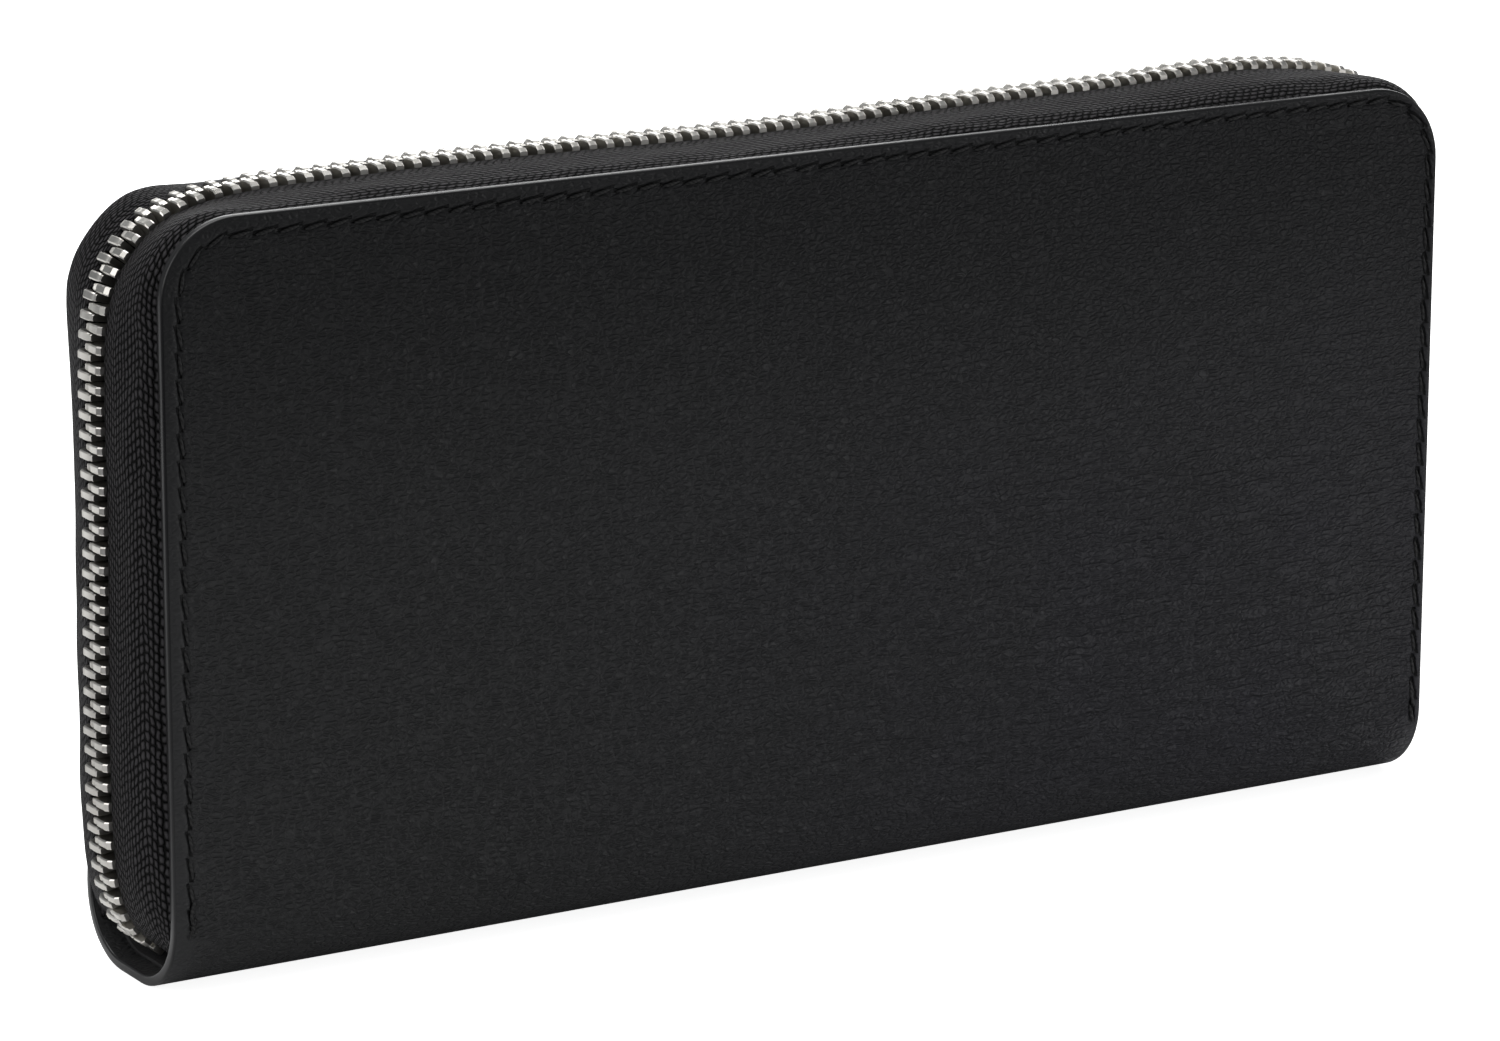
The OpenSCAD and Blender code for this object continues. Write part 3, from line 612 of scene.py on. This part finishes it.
def smooth_leather(name, dark, light, pebbles, roughness):
    """A thinner leather for the inside, with a finer and flatter grain."""
    material, tree, shader = new_material(name)
    place = add_node(tree, "TexCoord").outputs["Object"]
    grain = use_group(tree, grain_group, {"Vector": place, "Pebbles per m": pebbles, "Creases": 0.25})
    tone = mix_color(tree, grain.outputs["Tone"], dark, light)
    sheen = add_node(tree, "MapRange", {"Value": grain.outputs["Height"], "To Min": roughness + 0.08,
                                        "To Max": roughness - 0.05})
    bump = add_node(tree, "Bump", {"Height": grain.outputs["Height"], "Strength": 0.4,
                                   "Distance": 0.04 * MM})
    feed(tree, shader, {"Specular IOR Level": 0.3, "Base Color": tone, "Roughness": sheen.outputs[0],
                        "Normal": bump.outputs[0]})
    return material


lining_leather = smooth_leather("lining_leather", (0.022, 0.0215, 0.022, 1), (0.040, 0.039, 0.040, 1),
                                2300.0, 0.58)


def rounded_sheet(name, half, bottom, top, r, inner, outer, side, material, rim):
    """A flat upright sheet with two round top corners, between two distances from the centre plane."""
    steps = [r * share for share in (0, 0.1, 0.25, 0.45, 0.7, 1)]
    columns = toward_edges(half, 24, steps)
    rows = even_steps(bottom, top - r, 12)[:-1] + [top - s for s in reversed(steps)]
    bm = flat_sheet(columns, rows)
    round_top_corners(bm, half, top, r)
    thicken(bm, outer - inner, rim)
    for vert in bm.verts:
        vert.co = Vector((vert.co.x, side * (outer + vert.co.z), vert.co.y))
    for face in bm.faces:
        face.material_index = 0
    bmesh.ops.recalc_face_normals(bm, faces=bm.faces)
    return make_piece(name, bm, material)


for side, name in SIDES.items():
    low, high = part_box(name + "_lining")
    near, far = sorted((abs(low.y), abs(high.y)))
    lining = rounded_sheet(name + "_lining_leather", high.x, low.z, high.z, 15.2 * MM, near, far, side,
                           lining_leather, 0.12 * MM)
    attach(lining, name + "_half")
    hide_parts(name + "_lining")

spine_low, spine_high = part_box("spine_lining")
lining_t = 0.5 * MM
lining_r = roll_r - leather_t
lining_reach = math.acos(1 - (spine_high.z - spine_low.z) / lining_r) * lining_r + half_flat
rows = even_steps(-lining_reach, lining_reach, 36)
bm = flat_sheet(even_steps(spine_low.x, spine_high.x, 60), rows)
thicken(bm, lining_t, 0.12 * MM)
for vert in bm.verts:
    x, along, depth = vert.co.x, vert.co.y, -vert.co.z
    turn = max(0, abs(along) - half_flat) / lining_r
    flat = min(abs(along), half_flat)
    y = flat + (lining_r - depth) * math.sin(turn)
    vert.co = Vector((x, math.copysign(y, along), roll_r - (lining_r - depth) * math.cos(turn)))
for face in bm.faces:
    face.material_index = 0
bmesh.ops.recalc_face_normals(bm, faces=bm.faces)
spine_strip = make_piece("spine_lining_leather", bm, lining_leather)
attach(spine_strip, "core")
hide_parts("spine_lining")


# ---------- Main zip tapes ----------
# Two woven polyester tapes, herringbone on the outside, stand up from between the leather
# and the lining and bend over toward the teeth. Their lower left ends are tucked into the
# spine, and the chain bows outward a little where the wallet is full.
tooth_t = 2.6 * MM
tooth_reach = 3.05 * MM
tape_t = 0.6 * MM
tape_flange = 5.6 * MM
tape_foot_y = half_t - leather_t
zip_end_z = 23.5 * MM
# Places of the outer face of the closed teeth, as x and z in millimetres
chain_knots = [(-95.8, 4), (-97.9, 5.9), (-99.7, 8.6), (-101, 12.7), (-101.6, 17.5), (-101.9, 28),
               (-101.7, 45), (-101.4, 60), (-101.4, 78), (-100.9, 86), (-99.7, 90.7), (-97, 95),
               (-93, 98.6), (-88.5, 100.3), (-82, 101.4), (-68, 102.0), (-45, 102.3), (-5, 102.0),
               (25, 102.7), (52, 103.1), (70, 103.6), (80, 103), (87.6, 101.8), (93, 99.7), (97.2, 95.8),
               (99.1, 89.5), (99.35, 82), (99.3, 74), (99.3, 50), (99.3, 11.9)]


def smooth_line(knots, count):
    """Points along a smooth line through the knots, with their distances along it."""
    curve = bpy.data.curves.new("guide", "CURVE")
    curve.dimensions = "3D"
    curve.resolution_u = count
    spline = curve.splines.new("BEZIER")
    spline.bezier_points.add(len(knots) - 1)
    for point, (x, z) in zip(spline.bezier_points, knots):
        point.co = (x * MM, 0, z * MM)
        point.handle_left_type = point.handle_right_type = "AUTO"
    guide = bpy.data.objects.new("guide", curve)
    scene.collection.objects.link(guide)
    bpy.context.view_layer.update()
    mesh = guide.to_mesh()
    points = [vert.co.copy() for vert in mesh.vertices]
    guide.to_mesh_clear()
    bpy.data.objects.remove(guide)
    bpy.data.curves.remove(curve)
    along = [0.0]
    for first, second in zip(points, points[1:]):
        along.append(along[-1] + (second - first).length)
    return points, along


chain_points, chain_along = smooth_line(chain_knots, 24)
chain_len = chain_along[-1]


def on_chain(distance):
    """Place of the chain's middle, the way it runs and the outward way, at a distance along it."""
    distance = min(max(distance, 0), chain_len - 1e-6)
    low, high = 0, len(chain_along) - 1
    while high - low > 1:
        middle = (low + high) // 2
        if chain_along[middle] <= distance:
            low = middle
        else:
            high = middle
    share = (distance - chain_along[low]) / (chain_along[high] - chain_along[low])
    before = chain_points[max(low - 1, 0)]
    after = chain_points[min(high + 1, len(chain_points) - 1)]
    way = (after - before).normalized()
    out = Vector((-way.z, 0, way.x))
    place = chain_points[low].lerp(chain_points[high], share) - out * (tooth_t / 2)
    return place, way, out


# Weave: rows of floats that step sideways, up and then down again, as herringbone does
weave_group, source, result = new_group(
    "herringbone_weave",
    [("Vector", "Vector", None), ("Float length", "Float", 1.4), ("Yarn width", "Float", 0.6),
     ("Rows", "Float", 4.0)],
    [("Height", "Float")])
uv_parts = add_node(weave_group, "SeparateXYZ", {0: source.outputs["Vector"]})
yarn_row = math_node(weave_group, "DIVIDE", uv_parts.outputs["Y"], source.outputs["Yarn width"])
row_number = math_node(weave_group, "FLOOR", yarn_row)
leaning = math_node(weave_group, "ADD", math_node(weave_group, "MULTIPLY", row_number, 0.35),
                    math_node(weave_group, "MULTIPLY", yarn_row, 0.65))
zigzag = math_node(weave_group, "MULTIPLY",
                   math_node(weave_group, "PINGPONG", leaning, source.outputs["Rows"]), 0.42)
run = math_node(weave_group, "DIVIDE", uv_parts.outputs["X"], source.outputs["Float length"])
stepped = math_node(weave_group, "FRACT", math_node(weave_group, "ADD", run, zigzag))
float_arch = math_node(weave_group, "SINE", math_node(weave_group, "MULTIPLY", stepped, math.pi))
yarn_arch = math_node(weave_group, "SINE",
                      math_node(weave_group, "MULTIPLY", math_node(weave_group, "FRACT", yarn_row), math.pi))
lump = math_node(weave_group, "MULTIPLY", math_node(weave_group, "POWER", float_arch, 0.6),
                 math_node(weave_group, "POWER", yarn_arch, 0.7))
weave_group.links.new(lump, result.inputs["Height"])

zip_tape, tree, shader = new_material("zip_tape")
weave_map = add_node(tree, "UVMap", uv_map="weave").outputs["UV"]
place = add_node(tree, "TexCoord").outputs["Object"]
uneven = add_node(tree, "TexNoise", {"Vector": place, "Scale": 700.0, "Detail": 3.0})
uneven_push = add_node(tree, "VectorMath", {0: uneven.outputs["Color"], 1: (0.9, 0.6, 0)},
                       operation="MULTIPLY")
wavy = add_node(tree, "VectorMath", {0: weave_map, 1: uneven_push.outputs[0]}, operation="ADD").outputs[0]
coarse = use_group(tree, weave_group, {"Vector": wavy, "Float length": 1.25, "Yarn width": 0.6, "Rows": 6.0})
fine = use_group(tree, weave_group, {"Vector": wavy, "Float length": 1.1, "Yarn width": 0.54, "Rows": 5.0})
across = add_node(tree, "SeparateXYZ", {0: weave_map}).outputs["Y"]
zone = add_node(tree, "MapRange", {"Value": across, "From Min": 3.5, "From Max": 5.0}).outputs[0]
weave_height = add_node(tree, "Mix", {"Factor": zone, "A": fine.outputs[0],
                                      "B": coarse.outputs[0]}).outputs[0]
# Painted shade and highlight: the gaps between the yarns are darkened to near black and the tops of the
# floats lightened
yarn_top = add_node(tree, "MapRange", {"Value": weave_height, "From Min": 0.3, "From Max": 0.9},
                    interpolation_type="SMOOTHSTEP").outputs[0]
shaded_yarn_color = mix_color(tree, yarn_top, (0.001, 0.001, 0.001, 1), (0.052, 0.049, 0.052, 1))
bump = add_node(tree, "Bump", {"Height": weave_height, "Strength": 1.0, "Distance": 0.4 * MM})
feed(tree, shader, {"Roughness": 0.6, "Specular IOR Level": 0.1, "Base Color": shaded_yarn_color,
                    "Normal": bump.outputs[0]})

bend_rows = 16
flange_rows = 4
foot_inset = 0.8 * MM
corner_fullness = {FRONT: 1.4 * MM, BACK: 1.6 * MM}


def cover_foot(place, side):
    """Nearest point to a place on the line just inside a cover's edge, and the way outward."""
    share = trimmed(side, place.z)
    r = (corner_r - foot_inset) * share
    turn_x = (half_w - corner_r) * share
    turn_z = (cover_top - corner_r) * share
    across = abs(place.x) - turn_x
    above = place.z - turn_z
    if above <= 0:
        way = Vector((1, 0, 0))
    elif across <= 0:
        way = Vector((0, 0, 1))
    else:
        way = Vector((across, 0, above)).normalized()
    start = Vector((min(abs(place.x), turn_x), 0, min(place.z, turn_z)))
    if above <= 0:
        start.x = turn_x
    foot = start + way * r
    if place.x < 0:
        foot.x, way.x = -foot.x, -way.x
    return foot, way, min(across, above) / r


def room_in_spine(z):
    """How far from the centre plane the tape may reach at a height, inside the leather."""
    if z > roll_r:
        return tape_foot_y
    inner_r = roll_r - leather_t - 0.15 * MM
    return min(tape_foot_y, half_flat + math.sqrt(max(0, inner_r ** 2 - (roll_r - z) ** 2)))


def tape_point(distance, row, side):
    """A point of the tape's outer face: it arches from beside the teeth down to the inside of
    the cover's edge, fuller round the corners, and goes on flat behind the leather."""
    middle, way, out = on_chain(distance)
    top = middle + out * (tape_t / 2)
    foot, foot_out, in_corner = cover_foot(middle, side)
    foot_y = room_in_spine(middle.z)
    if side == BACK:
        foot_y += back_flare(foot.x, foot.z) - corner_curl(foot.x, foot.z)
    if row > bend_rows:
        point = foot - foot_out * tape_flange * (row - bend_rows) / flange_rows
        return Vector((point.x, side * foot_y, point.z))
    turn = math.pi / 2 * row / bend_rows
    hollow = 1.15 if side == FRONT else 1.05 + 0.75 * abs(foot_out.z)
    point = foot + (top - foot) * math.cos(turn) ** hollow
    point += foot_out * corner_fullness[side] * smooth_step(in_corner, -0.8, 0.7) * math.sin(2 * turn) ** 1.3
    ripple = noise.noise(Vector((distance / (9 * MM), row * 0.22, side * 5))) * 0.25 * MM
    point += foot_out * ripple * math.sin(2 * turn)
    return Vector((point.x, side * (tooth_reach + (foot_y - tooth_reach) * math.sin(turn)), point.z))


section_at = [0.0]
for row in range(bend_rows + flange_rows):
    gap = tape_point(chain_len * 0.3, row, FRONT) - tape_point(chain_len * 0.3, row + 1, FRONT)
    section_at.append(section_at[-1] + gap.length)

for side, name in SIDES.items():
    steps = int(chain_len / (1.1 * MM))
    bm = flat_sheet(even_steps(0, chain_len, steps), list(range(bend_rows + flange_rows + 1)))
    weave_layer = bm.loops.layers.uv.new("weave")
    for face in bm.faces:
        for loop in face.loops:
            loop[weave_layer].uv = (loop.vert.co.x / MM, section_at[round(loop.vert.co.y)] / MM)
    for vert in bm.verts:
        vert.co = tape_point(vert.co.x, round(vert.co.y), side)
    if side == FRONT:
        bmesh.ops.reverse_faces(bm, faces=bm.faces)
    bm.normal_update()
    tape = make_piece(name + "_woven_tape", bm, zip_tape, crease=180)
    wall = tape.modifiers.new("thickness", "SOLIDIFY")
    wall.thickness = tape_t
    wall.offset = -1
    fold_with(tape)
    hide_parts(name + "_zip_tape")


# ---------- Main zip teeth ----------
# Stamped nickel silver teeth, clamped one by one on the corded edge of each tape. Each has
# a rounded head that meshes with the other row, a crowned body and two crimped legs.
tooth_pitch = 2.55 * MM
tooth_len = 1.1 * MM
tooth_overlap = 0.75 * MM
first_tooth = 0.6 * MM

zip_metal, tree, shader = new_material("nickel_silver")
place = add_node(tree, "TexCoord").outputs["Object"]
drawn = add_node(tree, "TexNoise", {"Vector": place, "Scale": 1500.0, "Detail": 4.0})
handled = add_node(tree, "TexNoise", {"Vector": place, "Scale": 90.0, "Detail": 5.0})
metal_tone = mix_color(tree, handled.outputs[0], (0.52, 0.50, 0.46, 1), (0.74, 0.72, 0.68, 1))
metal_gloss = add_node(tree, "MapRange", {"Value": handled.outputs[0], "To Min": 0.2, "To Max": 0.42})
bump = add_node(tree, "Bump", {"Height": drawn.outputs[0], "Strength": 0.12, "Distance": 0.05 * MM})
feed(tree, shader, {"Metallic": 1.0, "Base Color": metal_tone, "Roughness": metal_gloss.outputs[0],
                    "Normal": bump.outputs[0]})


def tooth_mesh(length, reach, overlap, thickness):
    """One tooth: x along the chain, y from the head back to the tape, z outward."""
    bm = bmesh.new()
    bmesh.ops.create_cube(bm, size=1)
    back = reach + overlap
    bmesh.ops.scale(bm, verts=bm.verts, vec=(length, back, thickness))
    bmesh.ops.translate(bm, verts=bm.verts, vec=(0, back / 2 - overlap, 0))
    for place in (0.1, 0.2, 0.32, 0.66, 0.76, 0.86):
        bmesh.ops.bisect_plane(bm, geom=bm.verts[:] + bm.edges[:] + bm.faces[:], dist=1e-7,
                               plane_co=(0, back * place - overlap, 0), plane_no=(0, 1, 0))
    long_edges = [edge for edge in bm.edges
                  if abs(edge.verts[0].co.x - edge.verts[1].co.x) < 1e-7
                  and abs(edge.verts[0].co.z - edge.verts[1].co.z) < 1e-7]
    bmesh.ops.bevel(bm, geom=long_edges, offset=length * 0.15, offset_type="OFFSET", affect="EDGES",
                    segments=1, profile=0.5, material=-1)
    for vert in bm.verts:
        share = (vert.co.y + overlap) / back
        vert.co.x *= 1 - 0.24 * (1 - smooth_step(share, 0, 0.32))
        vert.co.z *= 1 - 0.12 * hump(share, 0, 0.06) - 0.16 * hump(share, 0.2, 0.07)
        vert.co.z *= 1 - 0.08 * hump(share, 0.76, 0.04) - 0.35 * hump(share, 1, 0.07)
    mesh = bpy.data.meshes.new("tooth")
    bm.to_mesh(mesh)
    bm.free()
    return mesh


def add_copies(bm, shape, places):
    for place in places:
        copy = shape.copy()
        copy.transform(place)
        bm.from_mesh(copy)
        bpy.data.meshes.remove(copy)


def chain_matrix(distance, side, tilt=0.0):
    """Places a shape drawn with x along the chain, y to the side and z outward."""
    middle, way, out = on_chain(distance)
    across = Vector((0, side, 0))
    turn = Matrix((way, across, out)).transposed().to_4x4()
    return Matrix.Translation(middle) @ turn @ Matrix.Rotation(tilt, 4, "X")


def distance_at_foot(z):
    """Distance along the chain where its right run comes down to a height."""
    return chain_len - (z - chain_knots[-1][1] * MM)


tooth = tooth_mesh(tooth_len, tooth_reach, tooth_overlap, tooth_t)
last_tooth = distance_at_foot(zip_end_z)
tooth_count = int((last_tooth - first_tooth) / tooth_pitch)
rng = random.Random(7)
for side, name in SIDES.items():
    bm = bmesh.new()
    phase = 0.25 if side == FRONT else 0.75
    places = [chain_matrix(first_tooth + (i + phase) * tooth_pitch, side, rng.uniform(-0.03, 0.03))
              for i in range(tooth_count)]
    add_copies(bm, tooth, places)
    bmesh.ops.recalc_face_normals(bm, faces=bm.faces)
    row = make_piece(name + "_teeth", bm, zip_metal, crease=30)
    fold_with(row)
    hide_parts(name + "_zip_teeth")


# ---------- Zip stops, sliders and pulls ----------
# Cast and plated: the two sliders with their bridges, the wire link and tab of the main
# zip, the coin zip's own pull, and the crimped stops that end each chain.
def softened_copy(node_name, new_name, edge_r, body):
    """The same metal part with its edges broken, as casting and plating leave them."""
    bm = bmesh.new()
    bm.from_mesh(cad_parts[node_name].data)
    bmesh.ops.remove_doubles(bm, verts=bm.verts, dist=0.002 * MM)
    bmesh.ops.dissolve_limit(bm, angle_limit=math.radians(1), verts=bm.verts, edges=bm.edges)
    sharp = [edge for edge in bm.edges if edge.calc_face_angle(0) > math.radians(40)]
    bmesh.ops.bevel(bm, geom=sharp, offset=edge_r, offset_type="OFFSET", affect="EDGES",
                    segments=2, profile=0.5, material=-1, clamp_overlap=True)
    bmesh.ops.triangulate(bm, faces=[face for face in bm.faces if len(face.verts) > 4])
    for face in bm.faces:
        face.material_index = 0
    piece = make_piece(new_name, bm, zip_metal, crease=35)
    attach(piece, body)
    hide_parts(node_name)
    return piece


softened_copy("zip_slider", "main_slider", 0.15 * MM, "zip_slider")
softened_copy("zip_pull_link", "main_pull_link", 0.1 * MM, "zip_pull_link")
softened_copy("zip_pull_tab", "main_pull_tab", 0.18 * MM, "zip_pull_tab")
softened_copy("coin_slider", "coin_zip_slider", 0.12 * MM, "coin_slider")
softened_copy("coin_pull", "coin_zip_pull", 0.15 * MM, "coin_pull")
softened_copy("coin_zip_stops", "coin_chain_stops", 0.15 * MM, "core")
softened_copy("front_zip_stop", "front_top_stop", 0.18 * MM, "front_half")
softened_copy("back_zip_stop", "back_top_stop", 0.18 * MM, "back_half")

bm = bmesh.new()
stop_len = 1.8 * MM
bmesh.ops.create_cube(bm, size=1, matrix=chain_matrix(0, FRONT) @ Matrix.Translation((-1.0 * MM, 0, 0))
                      @ Matrix.Diagonal((stop_len, 1.7 * tooth_reach, tooth_t * 0.8, 1)))
bmesh.ops.bevel(bm, geom=bm.edges[:], offset=0.3 * MM, offset_type="OFFSET", affect="EDGES",
                segments=2, profile=0.5, material=-1)
bmesh.ops.recalc_face_normals(bm, faces=bm.faces)
bottom_stop = make_piece("chain_bottom_stop", bm, zip_metal)
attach(bottom_stop, "core")
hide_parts("zip_bottom_stop")


# ---------- Card panels and slots ----------
# On each lining sits a leather panel with eight card slots in two columns. Every leaf has
# a turned top edge, a hot creased line under it, and is sewn down along its lower edge.
inner_leather = smooth_leather("inner_leather", (0.016, 0.016, 0.0165, 1), (0.034, 0.034, 0.035, 1),
                               2000.0, 0.45)


def card_leaf(name, node_name, side):
    """A slot's leaf or the panel behind them, with its turned and creased top edge."""
    low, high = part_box(node_name)
    near, far = sorted((abs(low.y), abs(high.y)))
    middle = (low.x + high.x) / 2
    half = (high.x - low.x) / 2
    edge = [s * MM for s in (0, 0.6, 1.4, 1.7, 2.0, 2.6, 4)]
    columns = [middle + x for x in toward_edges(half, 22, edge)]
    rows = even_steps(low.z, high.z - edge[-1], 12)[:-1] + [high.z - s for s in reversed(edge)]
    bm = flat_sheet(columns, rows)
    thicken(bm, far - near, 0.14 * MM)
    for vert in bm.verts:
        x, z = vert.co.x, vert.co.y
        share_x = (x - low.x) / (high.x - low.x)
        crease = 0.1 * MM * hump(high.z - z, 1.7 * MM, 0.3 * MM) if vert.co.z < -(far - near) / 2 else 0
        arch = math.sin(math.pi * min(1, max(0, share_x)))
        bow = 0.22 * MM * arch * smooth_step(z, low.z + 2 * MM, low.z + 30 * MM)
        vert.co = Vector((x, side * (far + vert.co.z + crease - bow), z))
    for face in bm.faces:
        face.material_index = 0
    bmesh.ops.recalc_face_normals(bm, faces=bm.faces)
    leaf = make_piece(name, bm, inner_leather)
    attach(leaf, SIDES[side] + "_half")
    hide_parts(node_name)


for side, name in SIDES.items():
    card_leaf(name + "_panel_leather", name + "_card_panel", side)
    for column in ("left", "right"):
        for number in (1, 2, 3, 4):
            card_leaf(f"{name}_leaf_{column}_{number}", f"{name}_slot_{column}_{number}", side)


# ---------- Gussets ----------
# Thin leather folded like a bellows joins each card panel's ends to the coin pocket, so
# that the note compartment behind it opens only so far.
def rounded_line(corners, r, steps=4):
    """The line through the corners, with each bend rounded."""
    corners = [Vector(c) for c in corners]
    points = [corners[0]]
    for before, corner, after in zip(corners, corners[1:], corners[2:]):
        start = corner + (before - corner).normalized() * min(r, (before - corner).length / 2)
        end = corner + (after - corner).normalized() * min(r, (after - corner).length / 2)
        for i in range(steps + 1):
            t = i / steps
            points.append((1 - t) ** 2 * start + 2 * t * (1 - t) * corner + t ** 2 * end)
    return points + [corners[-1]]


def folded_strip(name, section, rows, place, thickness, material):
    """A strip with a bent section. place turns a section point and a row into a point."""
    bm = flat_sheet(list(range(len(section))), rows)
    for vert in bm.verts:
        vert.co = place(section[round(vert.co.x)], vert.co.y)
    strip = make_piece(name, bm, material, crease=180)
    wall = strip.modifiers.new("thickness", "SOLIDIFY")
    wall.thickness = thickness
    wall.offset = 0
    wall.use_even_offset = True
    return strip


gusset_t = 0.5 * MM
gusset_flange = 3 * MM
for side, name in SIDES.items():
    for end, end_name in ((-1, "left"), (1, "right")):
        node_name = f"{name}_gusset_{end_name}"
        low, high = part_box(node_name)
        near, far = sorted((abs(low.y), abs(high.y)))
        tip, root = sorted((abs(low.x), abs(high.x)))
        inner_y, outer_y = near + gusset_t / 2, far - gusset_t / 2
        edge_x = root - gusset_t / 2
        arm_y = inner_y + (outer_y - inner_y) * 0.62
        seam_x = tip + 11.5 * MM
        section = rounded_line([(root - gusset_flange, outer_y), (edge_x, outer_y), (edge_x, arm_y),
                                (tip + gusset_t / 2, (arm_y + inner_y) / 2), (edge_x, inner_y),
                                (seam_x, inner_y)], 0.9 * MM)

        def place(point, z, end=end, side=side, low=low, high=high):
            from_end = smooth_step(root - abs(point.x), 4 * MM, 15 * MM)
            sag = 2.2 * MM * smooth_step(z, high.z - 14 * MM, high.z) * from_end
            return Vector((end * point.x, side * point.y, z - sag))

        gusset = folded_strip(f"{name}_bellows_{end_name}", section, even_steps(low.z, high.z, 24), place,
                              gusset_t, inner_leather)
        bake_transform(gusset)
        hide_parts(node_name)


# ---------- Coin pocket ----------
# Two leather walls with round top corners stand on a base strip in the spine, closed by
# folded ends and by a short zip of their own.
for side, name in SIDES.items():
    low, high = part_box("coin_wall_" + name)
    near, far = sorted((abs(low.y), abs(high.y)))
    wall = rounded_sheet("coin_leather_" + name, high.x, low.z, high.z, 4 * MM, near, far, side,
                         inner_leather, 0.25 * MM)
    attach(wall, "core")
    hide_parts("coin_wall_" + name)

low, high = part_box("coin_base")
bm = flat_sheet(even_steps(low.x, high.x, 60), even_steps(low.y, high.y, 6))
thicken(bm, high.z - low.z, 0.12 * MM)
bmesh.ops.translate(bm, verts=bm.verts, vec=(0, 0, high.z))
for face in bm.faces:
    face.material_index = 0
base_strip = make_piece("coin_base_strip", bm, lining_leather)
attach(base_strip, "core")
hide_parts("coin_base")

for end, end_name in ((-1, "left"), (1, "right")):
    low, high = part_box("coin_end_" + end_name)
    tip, root = sorted((abs(low.x), abs(high.x)))
    edge_y = high.y - gusset_t / 2
    section = rounded_line([(root - gusset_t / 2, -edge_y), (tip + gusset_t / 2, 0),
                            (root - gusset_t / 2, edge_y)], 1.2 * MM)

    def place(point, z, end=end):
        return Vector((end * point.x, point.y, z))

    fold = folded_strip("coin_fold_" + end_name, section, even_steps(low.z, high.z, 20), place, gusset_t,
                        inner_leather)
    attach(fold, "core")
    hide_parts("coin_end_" + end_name)

coin_tape_t = 0.4 * MM
for side, name in SIDES.items():
    low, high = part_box("coin_tape_" + name)
    near, far = sorted((abs(low.y), abs(high.y)))
    wall_y = far - coin_tape_t / 2
    chain_z = high.z - coin_tape_t / 2
    section = rounded_line([(wall_y, low.z), (wall_y, chain_z), (near, chain_z)], 0.7 * MM)
    columns = even_steps(low.x, high.x, 90)
    bm = flat_sheet(columns, list(range(len(section))))
    section_at = [0.0]
    for first, second in zip(section, section[1:]):
        section_at.append(section_at[-1] + (second - first).length)
    uv_layer = bm.loops.layers.uv.new("weave")
    for face in bm.faces:
        for loop in face.loops:
            loop[uv_layer].uv = (loop.vert.co.x / MM,
                                 (section_at[-1] - section_at[round(loop.vert.co.y)]) / MM)
    for vert in bm.verts:
        point = section[round(vert.co.y)]
        vert.co = Vector((vert.co.x, side * point.x, point.y))
    tape = make_piece("coin_woven_tape_" + name, bm, zip_tape, crease=180)
    wall = tape.modifiers.new("thickness", "SOLIDIFY")
    wall.thickness = coin_tape_t
    wall.offset = 0
    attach(tape, "core")
    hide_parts("coin_tape_" + name)

coin_pitch = 2.1 * MM
teeth_low, teeth_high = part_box("coin_teeth_front")
coin_z = (teeth_low.z + teeth_high.z) / 2
coin_tooth_t = teeth_high.z - teeth_low.z
coin_overlap = teeth_high.y
coin_reach = -teeth_low.y
coin_tooth_len = 0.85 * MM
coin_tooth = tooth_mesh(coin_tooth_len, coin_reach, coin_overlap, coin_tooth_t)
for side, name in SIDES.items():
    low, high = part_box("coin_teeth_" + name)
    bm = bmesh.new()
    turned = Matrix(((1, 0, 0), (0, side, 0), (0, 0, 1))).to_4x4()
    count = round((high.x - low.x - coin_tooth_len) / coin_pitch) + 1
    add_copies(bm, coin_tooth,
               [Matrix.Translation((low.x + coin_tooth_len / 2 + i * coin_pitch, 0, coin_z)) @ turned
                                for i in range(count)])
    bmesh.ops.recalc_face_normals(bm, faces=bm.faces)
    row = make_piece("coin_chain_" + name, bm, zip_metal, crease=30)
    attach(row, "core")
    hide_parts("coin_teeth_" + name)
